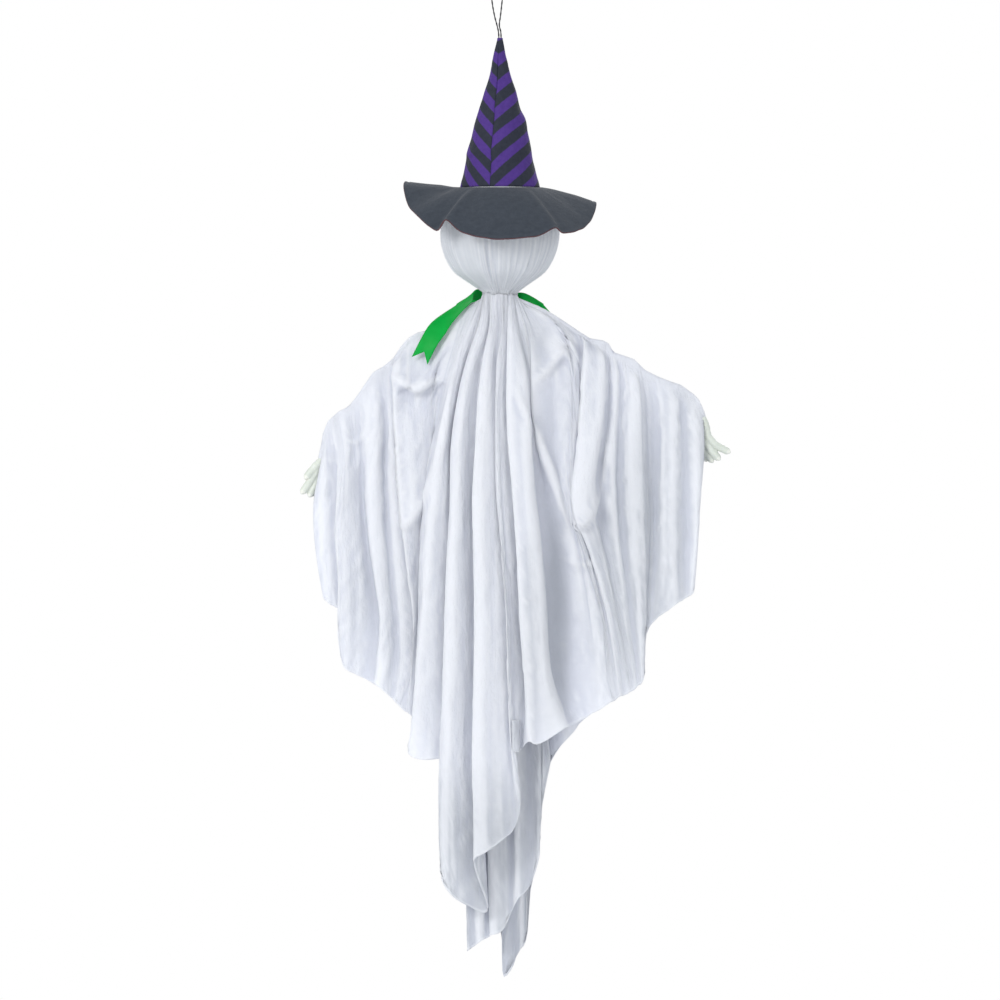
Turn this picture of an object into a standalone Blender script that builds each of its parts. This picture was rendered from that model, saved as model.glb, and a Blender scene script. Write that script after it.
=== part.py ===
"""Hanging fabric ghost: a foam ball head under a sheet that is gathered at the neck and spread
over a bent arm wire, with a pointed hat, a ribbon bow and a cord loop to hang it by.

Origin: the top of the cord loop. +Z is up, and the side that shows faces -Y.
"""
import math

import bmesh
import bpy
from mathutils import Vector

MM = 0.001

# Fits, in metres
CLEARANCE = 0.0004
CLOTH = 0.0012

# Sheet: from the neck to its lowest corner, and how far each arm reaches out
SHEET_DROP = 0.878
LEFT_REACH = 0.234
RIGHT_REACH = 0.266

# Head and neck
BALL_RADIUS = 0.073
CLOTH_EASE = 0.002
WIRE_EASE = 0.0008
NECK_RADIUS = 0.019
NECK_BELOW_BALL_CENTRE = 0.079
NECK_BAND = 0.0022
NECK_PLEAT = 0.0009

# Hat
HAT_HEIGHT = 0.192
HAT_WALL = 0.0012
HAT_MOUTH_RADIUS = 0.0505
HAT_TIP_HOLE = 0.0028
HAT_FIT = 0.001
BRIM_RADIUS = 0.123

# Cord
CORD_DIAMETER = 0.002
LOOP_HEIGHT = 0.0745
CORD_HALF_SPREAD = 0.0014
KNOT_RADIUS = 0.0044
KNOT_BELOW_TIP = 0.012

# Arms, hands, tie and ribbon
WIRE_DIAMETER = 0.003
HAND_LENGTH = 0.056
HAND_GAP = 0.0009
TIE_DIAMETER = 0.003
RIBBON_WIDTH = 0.025
RIBBON_THICKNESS = 0.0006

# Places that follow from the sizes
HEAD_RADIUS = BALL_RADIUS + CLOTH_EASE + CLOTH
HAT_FOOT_ABOVE_BALL = math.sqrt(HEAD_RADIUS ** 2 - (HAT_MOUTH_RADIUS - HAT_FIT) ** 2)
HAT_TIP_Z = -LOOP_HEIGHT
HAT_FOOT_Z = HAT_TIP_Z - HAT_HEIGHT
CORD_END_Z = HAT_TIP_Z - KNOT_BELOW_TIP + KNOT_RADIUS + CLEARANCE
BALL_Z = HAT_FOOT_Z - HAT_FOOT_ABOVE_BALL
NECK_Z = BALL_Z - NECK_BELOW_BALL_CENTRE
ARM_FOLD_RADIUS = WIRE_DIAMETER / 2 + WIRE_EASE + CLOTH

# The real length of one unit in the lists of the sheet's lines and of each arm's top line.
# At the sizes above a unit is 1 mm.
LINE_UNIT = SHEET_DROP / 878
LEFT_UNIT = LEFT_REACH / 234
RIGHT_UNIT = RIGHT_REACH / 266

# Top of the cloth over each arm, from the neck out: x and drop below the neck, in units
LEFT_ARM = [(-19, 3), (-39, 13), (-77, 41), (-116, 59), (-139, 86), (-173, 117),
            (-193, 142), (-218, 163), (-230, 195), (-234, 217)]
RIGHT_ARM = [(19, 3), (31, 8), (58, 19), (107, 51), (144, 74), (185, 98),
             (232, 118), (257, 140), (266, 163)]

# Fold lines of the sheet, from one wing's edge across to the other's, in units. A wing's line
# starts at a share of its arm, and its points are measured from there: across, down, and out
# to the side that shows. A neck line starts at an angle round the neck, and its points are
# measured from the neck's centre. The last pair is where the hidden side's hem ends.
LEFT_WING = [
    (0.93, [(-4, 17, 12), (-6, 45, 14), (-9, 70, 14), (-9, 109, 13), (-5, 147, 12), (3, 195, 12)], (3, 195)),
    (0.892, [(4, 40, 10), (4, 82, 13), (5, 152, 12), (9, 215, 11)], (9, 214)),
    (0.8, [(6, 49, 17), (3, 122, 21), (5, 204, 22), (6, 247, 22)], (8, 243)),
    (0.742, [(4, 67, 15), (0, 144, 17), (-4, 247, 20), (-5, 325, 20)], (8, 246)),
    (0.688, [(6, 67, 8), (9, 144, 6), (13, 246, 8), (1, 353, 14)], (11, 253)),
    (0.623, [(5, 57, 18), (9, 162, 24), (14, 230, 24), (24, 326, 22), (17, 383, 20)], (14, 274)),
    (0.556, [(13, 59, 10), (12, 123, 9), (17, 213, 11), (23, 315, 12), (21, 414, 16)], (9, 344)),
    (0.49, [(6, 68, 22), (13, 150, 28), (18, 204, 30), (26, 304, 20), (19, 442, 18)], (5, 388)),
    (0.417, [(15, 58, 20), (18, 115, 26), (14, 179, 36), (14, 215, 38), (18, 250, 20),
             (20, 345, 14), (11, 466, 14)], (4, 417)),
    (0.319, [(18, 58, 24), (13, 135, 22), (8, 183, 24), (2, 225, 20), (0, 269, 14),
             (0, 364, 12), (-5, 489, 12)], (-7, 453)),
    (0.0, [(-20, 16, 8), (-35, 57, 20), (-50, 124, 20), (-62, 165, 12), (-73, 201, 10),
           (-80, 242, 10), (-84, 314, 12), (-86, 548, 12)], (-79, 527)),
]
NECK = [
    (-78, [(-39, 37, 24), (-56, 89, 34), (-69, 150, 38), (-85, 249, 46), (-91, 304, 48),
           (-104, 458, 46), (-117, 590, 38)], (-89, 561)),
    (-66, [(-32, 41, 25), (-47, 89, 28), (-58, 150, 28), (-67, 266, 32), (-74, 368, 32),
           (-85, 595, 34)], (-81, 576)),
    (-56, [(-28, 41, 27), (-44, 89, 32), (-54, 144, 35), (-64, 266, 43), (-69, 368, 45),
           (-76, 599, 41)], (-74, 587)),
    (-46, [(-23, 41, 30), (-39, 86, 38), (-49, 137, 44), (-60, 253, 54), (-63, 343, 57),
           (-72, 522, 56), (-74, 599, 52), (-78, 689, 46), (-76, 746, 42)], (-68, 604)),
    (-36, [(-18, 41, 30), (-31, 86, 36), (-40, 137, 40), (-50, 266, 46), (-51, 368, 48),
           (-56, 599, 46), (-59, 689, 42), (-55, 778, 38)], (-58, 638)),
    (-26, [(-14, 41, 27), (-24, 86, 29), (-31, 137, 30), (-33, 266, 32), (-32, 368, 33),
           (-31, 599, 34), (-27, 715, 32), (-21, 791, 30)], (-47, 676)),
    (-17, [(-12, 41, 32), (-19, 86, 40), (-26, 137, 48), (-32, 266, 58), (-31, 368, 62),
           (-33, 599, 62), (-33, 725, 58)], (-36, 715)),
    (-9, [(-4, 41, 24), (-8, 86, 30), (-12, 137, 38), (-17, 266, 48), (-17, 368, 52),
          (-14, 599, 55), (-12, 711, 54)], (-23, 753)),
    (0, [(4, 41, 33), (5, 86, 42), (4, 137, 48), (-3, 266, 57), (4, 356, 60), (8, 445, 62),
         (13, 599, 60), (15, 687, 57)], (-10, 785)),
    (8, [(8, 41, 31), (9, 86, 38), (8, 137, 43), (3, 266, 49), (12, 394, 51), (18, 522, 51),
         (26, 658, 48)], (1, 818)),
    (17, [(10, 41, 30), (13, 86, 35), (13, 137, 38), (10, 266, 41), (17, 356, 40),
          (22, 445, 38), (24, 576, 34)], (5, 878)),
    (27, [(15, 41, 35), (19, 86, 43), (21, 137, 49), (17, 253, 57), (23, 330, 59),
          (31, 484, 60), (37, 574, 56)], (19, 853)),
    (38, [(21, 41, 33), (27, 86, 39), (28, 137, 43), (31, 266, 50), (37, 343, 52),
          (44, 445, 53), (55, 570, 48)], (33, 833)),
    (49, [(27, 47, 33), (33, 92, 41), (36, 137, 45), (45, 253, 55), (51, 330, 58),
          (65, 510, 58), (81, 558, 50)], (39, 766)),
    (62, [(35, 47, 26), (40, 99, 28), (44, 150, 28), (50, 201, 22), (59, 253, 16),
          (69, 330, 14), (80, 420, 14), (87, 510, 16), (95, 554, 20)], (49, 724)),
    (76, [(42, 41, 22), (51, 92, 26), (56, 137, 26), (65, 201, 22), (80, 266, 20),
          (98, 343, 18), (118, 497, 22), (112, 544, 24)], (54, 651)),
]
RIGHT_WING = [
    (0.0, [(39, 34, 14), (53, 83, 26), (62, 147, 32), (77, 263, 33), (86, 308, 28),
           (100, 378, 22), (113, 455, 22), (111, 526, 24)], (46, 596)),
    (0.216, [(15, 42, 22), (19, 106, 26), (17, 234, 35), (23, 268, 36), (41, 314, 24),
             (59, 388, 22), (68, 491, 24)], (8, 541)),
    (0.333, [(1, 33, 18), (-4, 93, 28), (-10, 209, 39), (-3, 247, 39), (18, 298, 22),
             (36, 382, 20), (47, 466, 22)], (-4, 501)),
    (0.398, [(1, 38, 12), (-1, 89, 20), (-13, 211, 33), (-14, 238, 35), (8, 284, 20),
             (27, 371, 20), (40, 452, 20)], (-3, 475)),
    (0.463, [(0, 34, 8), (-2, 79, 10), (-14, 194, 13), (-5, 258, 13), (17, 348, 17),
             (32, 437, 20)], (-2, 454)),
    (0.528, [(-1, 43, 16), (-4, 107, 19), (-5, 171, 17), (3, 261, 14), (23, 419, 18)],
     (-4, 435)),
    (0.587, [(0, 47, 20), (0, 98, 24), (3, 191, 26), (8, 291, 24), (13, 401, 22)], (-3, 417)),
    (0.641, [(0, 52, 16), (0, 116, 16), (0, 224, 18), (0, 330, 18)], (-5, 347)),
    (0.692, [(0, 46, 8), (-1, 97, 6), (-1, 213, 8), (1, 308, 10)], (-1, 302)),
    (0.753, [(1, 51, 18), (2, 116, 20), (4, 205, 18), (8, 288, 16)], (5, 282)),
    (0.809, [(4, 57, 10), (6, 122, 9), (6, 199, 9), (5, 273, 10)], (4, 268)),
    (0.882, [(4, 43, 12), (5, 107, 12), (3, 184, 10), (-4, 253, 8)], (-5, 246)),
    (0.93, [(6, 32, 11), (3, 58, 12), (0, 111, 13), (-3, 165, 12), (-8, 234, 12)], (-9, 225)),
]

# Fold lines of the inner sheet, laid over the wire inside the neck: x of the start on the
# wire, then points measured from the neck's centre, in units
UNDER_CLOTH = [
    (-13, [(-28, 137, 8), (-44, 291, 10), (-49, 445, 10), (-46, 599, 10), (-42, 844, 9)]),
    (-10, [(-23, 137, 5), (-33, 291, 5), (-35, 445, 5), (-28, 728, 5), (-27, 832, 5)]),
    (-7, [(-15, 137, 10), (-23, 291, 14), (-22, 445, 14), (-14, 728, 12), (-12, 823, 10)]),
    (-3, [(-9, 137, 5), (-10, 291, 5), (-8, 445, 5), (-4, 728, 5), (-3, 819, 5)]),
    (0, [(-3, 137, 10), (0, 291, 13), (4, 445, 13), (6, 728, 10), (8, 812, 9)]),
    (3, [(4, 137, 5), (10, 291, 5), (15, 445, 5), (18, 728, 5), (18, 785, 5)]),
    (7, [(10, 137, 10), (21, 291, 13), (26, 445, 13), (31, 715, 10), (30, 773, 9)]),
    (10, [(15, 137, 5), (30, 291, 5), (36, 445, 5), (42, 689, 5), (42, 753, 5)]),
    (13, [(21, 137, 9), (39, 291, 12), (46, 445, 12), (53, 651, 9), (49, 724, 8)]),
]

# How finely the pieces are divided. Rows of cloth lie closer together near the top.
SHEET_ROWS = 11
UNDER_ROWS = 11
ROW_SPACING = 1.25
HAT_SIDES = 24
HEAD_ROWS = 7
FOLD_ANGLES = (0, 50, 90)
LONGEST_ARM_STEP = 0.07

# Shares of an arm's length: where the wire ends, and the reach over which its slope is taken
WIRE_END = 0.985
SLOPE_REACH = 0.03

# The hidden side's sheet: its mean depth behind each arm and the neck, how far its folds stand
# out against those that show, and the ease above its hem, in units
LEFT_HIDDEN_DEPTH = 27
NECK_HIDDEN_DEPTH = 54
RIGHT_HIDDEN_DEPTH = 30
HIDDEN_SPREAD = 0.98
HIDDEN_FOLD_SHARE = 0.55
HIDDEN_HEM_EASE = 60
UNDER_HIDDEN_LENGTH = 0.9


def clear_scene():
    for item in list(bpy.data.objects):
        bpy.data.objects.remove(item, do_unlink=True)


def new_collection():
    collection = bpy.data.collections.new("hanging_fabric_ghost")
    bpy.context.scene.collection.children.link(collection)
    return collection


def material(name, colour, roughness, metallic=0.0):
    made = bpy.data.materials.new(name)
    made.use_nodes = True
    shader = made.node_tree.nodes["Principled BSDF"]
    shader.inputs["Base Color"].default_value = (*colour, 1.0)
    shader.inputs["Roughness"].default_value = roughness
    shader.inputs["Metallic"].default_value = metallic
    made.diffuse_color = (*colour, 1.0)
    return made


def finish(item, name, collection, look):
    item.name = name
    item.data.name = name
    for holder in list(item.users_collection):
        holder.objects.unlink(item)
    collection.objects.link(item)
    item.data.materials.clear()
    item.data.materials.append(look)
    return item


def mesh_object(name, vertices, faces):
    mesh = bpy.data.meshes.new(name)
    mesh.from_pydata(vertices, [], faces)
    mesh.update()
    mesh.shade_smooth()
    return bpy.data.objects.new(name, mesh)


def thicken(item, thickness, offset=-1.0):
    wall = item.modifiers.new("wall", "SOLIDIFY")
    wall.thickness = thickness
    wall.offset = offset
    return wall


def catmull(before, start, end, after, share):
    """A point on the smooth curve between start and end."""
    square = share * share
    cube = square * share
    return 0.5 * (2 * start + (end - before) * share
                  + (2 * before - 5 * start + 4 * end - after) * square
                  + (3 * start - before - 3 * end + after) * cube)


def smooth_curve(points, steps=8):
    """Points close together on a smooth curve through hand-set ones."""
    ends = [2 * points[0] - points[1]] + list(points) + [2 * points[-1] - points[-2]]
    curve = []
    for index in range(len(points) - 1):
        for step in range(steps):
            curve.append(catmull(*ends[index:index + 4], step / steps))
    curve.append(points[-1].copy())
    return curve


def along(curve, shares):
    """The points at the given shares of a curve's length."""
    lengths = [0.0]
    for start, end in zip(curve, curve[1:]):
        lengths.append(lengths[-1] + (end - start).length)
    found = []
    for share in shares:
        target = share * lengths[-1]
        index = 0
        while index < len(curve) - 2 and lengths[index + 1] < target:
            index += 1
        part = (target - lengths[index]) / max(lengths[index + 1] - lengths[index], 1e-9)
        found.append(curve[index].lerp(curve[index + 1], min(max(part, 0.0), 1.0)))
    return found


def arm_curve(points):
    """The cloth's top line over an arm."""
    unit = LEFT_UNIT if points is LEFT_ARM else RIGHT_UNIT
    start = NECK_RADIUS - abs(points[0][0]) * unit
    outward = math.copysign(start, points[0][0])
    return smooth_curve([Vector((x * unit + outward, 0, NECK_Z - drop * unit))
                         for x, drop in points])


def outward_normal(curve, share):
    """The direction square to the arm that points up, away from the wire."""
    before, after = along(curve, (max(share - SLOPE_REACH, 0.0), min(share + SLOPE_REACH, 1.0)))
    run = (after - before).normalized()
    normal = Vector((-run.z, 0, run.x))
    return normal if normal.z > 0 else -normal


def wire_centre(curve, share):
    top = along(curve, (share,))[0]
    return top - outward_normal(curve, share) * ARM_FOLD_RADIUS


def over_wire(curve, share, side):
    """The cloth's first points where it folds over the wire, side -1 towards the viewer."""
    centre = wire_centre(curve, share)
    normal = outward_normal(curve, share)
    turned = []
    for degrees in FOLD_ANGLES:
        angle = math.radians(degrees)
        out = Vector((0, side * math.sin(angle), 0))
        turned.append(centre + ARM_FOLD_RADIUS * (normal * math.cos(angle) + out))
    return turned


def wing_points(curve, share, line, side):
    """A wing's fold line: over the wire, then down through its own points."""
    top = along(curve, (share,))[0]
    hanging = [top + LINE_UNIT * Vector((x, side * out, -drop)) for x, drop, out in line]
    start = over_wire(curve, share, side)
    body = along(smooth_curve([start[-1]] + hanging), row_shares(SHEET_ROWS))
    return start + body[1:]


def shares_between(start, end):
    """The shares of the arm at which lines are added between two that are far apart."""
    steps = max(1, round(abs(end - start) / LONGEST_ARM_STEP))
    return [start + (end - start) * step / steps for step in range(1, steps)]


def with_lines_between(curve, shares, lines, side):
    """A wing's fold lines, and lines between those that start far apart on the arm, so that
    the cloth follows the wire."""
    filled = [lines[0]]
    rows = len(lines[0])
    last = len(lines) - 1
    for index in range(last):
        around = [lines[max(index - 1, 0)], lines[index], lines[index + 1],
                  lines[min(index + 2, last)]]
        start, end = shares[index:index + 2]
        for share in shares_between(start, end):
            part = (share - start) / (end - start)
            fold = over_wire(curve, share, side)
            line = [catmull(*[near[row] for near in around], part) for row in range(rows)]
            shift = fold[-1] - line[len(fold) - 1]
            for row in range(len(fold), rows):
                line[row] += shift * (1 - row / (rows - 1)) ** 2
            filled.append(fold + line[len(fold):])
        filled.append(lines[index + 1])
    return filled


def ring_point(degrees, side, radius, drop=0.0):
    angle = math.radians(degrees)
    return Vector((radius * math.sin(angle), side * radius * math.cos(angle), NECK_Z - drop))


def row_shares(rows):
    return [(row / rows) ** ROW_SPACING for row in range(rows + 1)]


def neck_points(degrees, line, side, pleat):
    """A fold line that leaves the neck's gathers."""
    radius = NECK_RADIUS + pleat
    start = [ring_point(degrees, side, radius, index * ARM_FOLD_RADIUS / 2)
             for index in range(len(FOLD_ANGLES))]
    neck = Vector((0, 0, NECK_Z))
    hanging = [neck + LINE_UNIT * Vector((x, side * out, -drop)) for x, drop, out in line]
    body = along(smooth_curve([start[-1]] + hanging), row_shares(SHEET_ROWS))
    return start + body[1:]


def hidden_line(line, hem, mean):
    """The hidden side's fold line: it follows the line that shows, and its folds stand out
    where that one's stand in."""
    out = line[-1][2]
    points = [(x * HIDDEN_SPREAD, drop, mean - HIDDEN_FOLD_SHARE * depth)
              for x, drop, depth in line if drop < hem[1] - HIDDEN_HEM_EASE]
    points.append((hem[0], hem[1], mean - HIDDEN_FOLD_SHARE * out))
    return points


def pleat_depth(index):
    return NECK_PLEAT if index % 2 else -NECK_PLEAT


def wing_lines(curve, wing, mean):
    """A wing's lines on the side that shows and on the hidden side."""
    shares = [share for share, _, _ in wing]
    shown = [wing_points(curve, share, line, -1) for share, line, _ in wing]
    hidden = [wing_points(curve, share, hidden_line(line, hem, mean), 1)
              for share, line, hem in wing]
    return (with_lines_between(curve, shares, shown, -1),
            with_lines_between(curve, shares, hidden, 1))


def neck_lines():
    """The lines between the arms, which leave the gathers at the neck."""
    shown = []
    hidden = []
    for index, (degrees, line, hem) in enumerate(NECK):
        pleat = pleat_depth(index)
        shown.append(neck_points(degrees, line, -1, pleat))
        back = hidden_line(line, hem, NECK_HIDDEN_DEPTH)
        hidden.append(neck_points(degrees, back, 1, pleat))
    return shown, hidden


def head_profile():
    """Radius and height of the cloth over the ball, from the neck up to the crown: straight
    from the gathers to where it touches the ball, then round it."""
    distance = math.hypot(NECK_RADIUS, NECK_BELOW_BALL_CENTRE)
    tangent = math.acos(HEAD_RADIUS / distance)
    start = math.atan2(NECK_RADIUS, NECK_BELOW_BALL_CENTRE) + tangent
    profile = [(NECK_RADIUS, NECK_Z + NECK_BAND),
               (0.5 * (NECK_RADIUS + HEAD_RADIUS * math.sin(start)),
                0.5 * (NECK_Z + BALL_Z - HEAD_RADIUS * math.cos(start)))]
    for step in range(HEAD_ROWS):
        angle = start + (math.pi - start) * step / HEAD_ROWS
        profile.append((HEAD_RADIUS * math.sin(angle), BALL_Z - HEAD_RADIUS * math.cos(angle)))
    return profile


def add_grid(lines, vertices, faces, first_row, flip):
    """Faces between neighbouring lines, whose first row is already in the mesh."""
    grid = []
    for line, start in zip(lines, first_row):
        column = [start]
        for point in line[1:]:
            column.append(len(vertices))
            vertices.append(point)
        grid.append(column)
    for left, right in zip(grid, grid[1:]):
        for row in range(len(left) - 1):
            face = (left[row], left[row + 1], right[row + 1], right[row])
            faces.append(face[::-1] if flip else face)


def make_shroud(collection, look):
    left_shown, left_hidden = wing_lines(arm_curve(LEFT_ARM), LEFT_WING, LEFT_HIDDEN_DEPTH)
    right_shown, right_hidden = wing_lines(arm_curve(RIGHT_ARM), RIGHT_WING,
                                           RIGHT_HIDDEN_DEPTH)
    neck_shown, neck_hidden = neck_lines()
    shown = left_shown + neck_shown + right_shown
    hidden = left_hidden + neck_hidden + right_hidden
    vertices = []
    faces = []
    neck_start = len(left_shown) - 1
    neck_end = neck_start + len(NECK) + 1
    first_shown = []
    for line in shown:
        first_shown.append(len(vertices))
        vertices.append(line[0])
    first_hidden = []
    for index, line in enumerate(hidden):
        if neck_start < index < neck_end:
            first_hidden.append(len(vertices))
            vertices.append(line[0])
        else:
            first_hidden.append(first_shown[index])
    add_grid(shown, vertices, faces, first_shown, False)
    add_grid(hidden, vertices, faces, first_hidden, True)
    ring = first_shown[neck_start:neck_end + 1] + first_hidden[neck_end - 1:neck_start:-1]
    neck_corners = [math.atan2(vertices[index].y, vertices[index].x) for index in ring]
    for radius, height in head_profile():
        above = []
        for angle in neck_corners:
            above.append(len(vertices))
            vertices.append(Vector((radius * math.cos(angle), radius * math.sin(angle), height)))
        for index in range(len(ring)):
            after = (index + 1) % len(ring)
            faces.append((ring[index], ring[after], above[after], above[index]))
        ring = above
    crown = len(vertices)
    vertices.append(Vector((0, 0, BALL_Z + HEAD_RADIUS)))
    for index in range(len(ring)):
        faces.append((ring[index], ring[(index + 1) % len(ring)], crown))
    item = mesh_object("shroud", vertices, faces)
    thicken(item, CLOTH)
    return finish(item, "shroud", collection, look)


def make_under_cloth(collection, look):
    """The inner sheet: over the wire inside the neck, with one leaf on each side."""
    left_end = wire_centre(arm_curve(LEFT_ARM), 0.0)
    right_end = wire_centre(arm_curve(RIGHT_ARM), 0.0)
    neck = Vector((0, 0, NECK_Z))
    columns = []
    for start, line in UNDER_CLOTH:
        part = (start * LINE_UNIT - left_end.x) / (right_end.x - left_end.x)
        wire = left_end.lerp(right_end, part)
        column = []
        for side, length in ((1, UNDER_HIDDEN_LENGTH), (-1, 1.0)):
            leaf = []
            for degrees in FOLD_ANGLES[1:]:
                angle = math.radians(degrees)
                out = Vector((0, side * math.sin(angle), math.cos(angle)))
                leaf.append(wire + ARM_FOLD_RADIUS * out)
            hanging = [neck + LINE_UNIT * Vector((x, side * out, -drop * length))
                       for x, drop, out in line]
            body = along(smooth_curve([leaf[-1]] + hanging), row_shares(UNDER_ROWS))
            leaf += body[1:]
            column += leaf[::-1] if side == 1 else leaf
            if side == 1:
                column.append(wire + Vector((0, 0, ARM_FOLD_RADIUS)))
        columns.append(column)
    vertices = []
    faces = []
    firsts = []
    for column in columns:
        firsts.append(len(vertices))
        vertices.append(column[0])
    add_grid(columns, vertices, faces, firsts, False)
    item = mesh_object("under_cloth", vertices, faces)
    thicken(item, CLOTH)
    return finish(item, "under_cloth", collection, look)


def make_ball(collection, look):
    bpy.ops.mesh.primitive_uv_sphere_add(segments=18, ring_count=11, radius=BALL_RADIUS,
                                         location=(0, 0, BALL_Z))
    item = bpy.context.object
    item.data.shade_smooth()
    return finish(item, "head_ball", collection, look)


def make_tie(collection, look):
    ring_radius = NECK_RADIUS + pleat_depth(1) + CLEARANCE + TIE_DIAMETER / 2
    bpy.ops.mesh.primitive_torus_add(major_radius=ring_radius, minor_radius=TIE_DIAMETER / 2,
                                     major_segments=20, minor_segments=6,
                                     location=(0, 0, NECK_Z))
    item = bpy.context.object
    item.data.shade_smooth()
    return finish(item, "neck_tie", collection, look)


# The hat's crown: distance below its tip as a share of its height, and half width there as a
# share of its half width at the foot
CROWN_PROFILE = [(0.125, 0.155), (0.224, 0.242), (0.354, 0.348), (0.458, 0.451), (0.557, 0.542),
                 (0.641, 0.615), (0.698, 0.631), (0.833, 0.803)]


def make_crown(collection, look):
    """The hat's crown: a turned wall of cloth, open at the tip for the cord."""
    points = [(HAT_TIP_HOLE + HAT_WALL, HAT_TIP_Z)]
    foot = HAT_MOUTH_RADIUS + HAT_WALL
    points += [(half * foot, HAT_TIP_Z - below * HAT_HEIGHT) for below, half in CROWN_PROFILE]
    points.append((foot, HAT_FOOT_Z))
    mesh = bpy.data.meshes.new("hat_cone")
    mesh.from_pydata([(radius, 0, height) for radius, height in points],
                     [(index, index + 1) for index in range(len(points) - 1)], [])
    item = bpy.data.objects.new("hat_cone", mesh)
    turn = item.modifiers.new("turn", "SCREW")
    turn.steps = HAT_SIDES
    turn.render_steps = HAT_SIDES
    turn.use_merge_vertices = True
    turn.merge_threshold = 0.00001
    thicken(item, HAT_WALL)
    return finish(item, "hat_cone", collection, look)


# The brim's edge: degrees round from the side that shows towards +X, drop below the hat's
# foot and radius, both in mm
BRIM_EDGE = [(0, 67, 123), (12, 66, 123), (24, 62, 123), (36, 52, 121), (42, 59, 122),
             (55, 56, 123), (70, 44, 124), (88, 22, 124), (105, 20, 122), (130, 34, 120),
             (150, 44, 118), (172, 40, 118), (195, 46, 118), (215, 36, 120), (235, 14, 122),
             (255, -8, 123), (272, -2, 124), (287, 24, 123), (300, 38, 122), (312, 51, 120),
             (318, 54, 119), (325, 41, 122), (334, 54, 123), (347, 64, 123)]
BRIM_RINGS = (0.0, 0.25, 0.6, 1.0)
BRIM_SIDES = 36
BRIM_DROOP = 1.35


def brim_edge():
    """The edge at even steps round the hat, on a smooth closed curve: drop and radius."""
    count = len(BRIM_EDGE)
    spread = [Vector(BRIM_EDGE[index % count]) + Vector((360 * (index // count), 0, 0))
              for index in range(-2, count + 2)]
    curve = smooth_curve(spread)
    even = []
    for step in range(BRIM_SIDES):
        degrees = 360 * step / BRIM_SIDES
        after = next(index for index, point in enumerate(curve) if point.x > degrees)
        start, end = curve[after - 1:after + 1]
        point = start.lerp(end, (degrees - start.x) / (end.x - start.x))
        even.append((math.radians(degrees), point.y * MM, point.z * MM))
    return even


def make_brim(collection, look):
    """The hat's brim: a floppy ring of cloth round the crown's foot."""
    inner = HAT_MOUTH_RADIUS + HAT_WALL + HAT_FIT
    seat = HAT_FOOT_Z + HAT_WALL / 2
    edge_scale = BRIM_RADIUS / (BRIM_EDGE[0][2] * MM)
    vertices = []
    faces = []
    for share in BRIM_RINGS:
        for angle, drop, radius in brim_edge():
            reach = inner + (radius * edge_scale - inner) * share
            height = seat - drop * edge_scale * share ** BRIM_DROOP
            vertices.append((reach * math.sin(angle), -reach * math.cos(angle), height))
    for ring in range(len(BRIM_RINGS) - 1):
        for index in range(BRIM_SIDES):
            after = (index + 1) % BRIM_SIDES
            faces.append((ring * BRIM_SIDES + index, (ring + 1) * BRIM_SIDES + index,
                          (ring + 1) * BRIM_SIDES + after, ring * BRIM_SIDES + after))
    item = mesh_object("hat_brim", vertices, faces)
    thicken(item, HAT_WALL)
    return finish(item, "hat_brim", collection, look)


# The cord's route over the hat, chosen by hand: x and z in mm, up one strand, round the loop
# and down the other
CORD_ROUTE = [(0.9, -66), (-0.9, -58), (0.6, -46), (2.2, -32), (3.2, -20), (2.4, -9), (0.0, -3.2),
              (-3.8, -1.0), (-7.6, -3.2), (-10.2, -9), (-10.8, -20), (-9.6, -32), (-7.0, -46),
              (-3.9, -58), (-2.1, -66)]
CORD_STEPS = 28


def tube(name, points, diameter, resolution, collection, look):
    data = bpy.data.curves.new(name, "CURVE")
    data.dimensions = "3D"
    data.bevel_depth = diameter / 2
    data.bevel_resolution = resolution
    data.render_resolution_u = 0
    data.use_fill_caps = True
    spline = data.splines.new("POLY")
    spline.points.add(len(points) - 1)
    for place, point in zip(spline.points, points):
        place.co = (*point, 1.0)
    return finish(bpy.data.objects.new(name, data), name, collection, look)


def make_cord(collection, look):
    ends = [(CORD_HALF_SPREAD, CORD_END_Z), (CORD_HALF_SPREAD, HAT_TIP_Z)]
    route = [Vector((x, 0, z)) for x, z in ends]
    route += [Vector((x * MM, 0, z * MM)) for x, z in CORD_ROUTE]
    route += [Vector((-x, 0, z)) for x, z in reversed(ends)]
    points = along(smooth_curve(route), [step / CORD_STEPS for step in range(CORD_STEPS + 1)])
    return tube("hanging_cord", points, CORD_DIAMETER, 2, collection, look)


def make_knot(collection, look):
    """The knot inside the hat's tip, wider than the hole that the cord leaves by."""
    bpy.ops.mesh.primitive_uv_sphere_add(segments=12, ring_count=8, radius=KNOT_RADIUS,
                                         location=(0, 0, HAT_TIP_Z - KNOT_BELOW_TIP))
    item = bpy.context.object
    item.data.shade_smooth()
    return finish(item, "cord_knot", collection, look)


def wire_side(arm, wing):
    """The wire's points along one arm, one under each line of the cloth."""
    shares = [share for share, _, _ in wing]
    filled = [shares[0]]
    for start, end in zip(shares, shares[1:]):
        filled += shares_between(start, end) + [end]
    curve = arm_curve(arm)
    return [wire_centre(curve, share) for share in filled]


def make_wire(collection, look):
    """One wire from hand to hand: inside both arms' folds and across the neck."""
    points = [wire_centre(arm_curve(LEFT_ARM), WIRE_END)]
    points += wire_side(LEFT_ARM, LEFT_WING) + wire_side(RIGHT_ARM, RIGHT_WING)
    points.append(wire_centre(arm_curve(RIGHT_ARM), WIRE_END))
    return tube("arm_wire", points, WIRE_DIAMETER, 1, collection, look)


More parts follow.
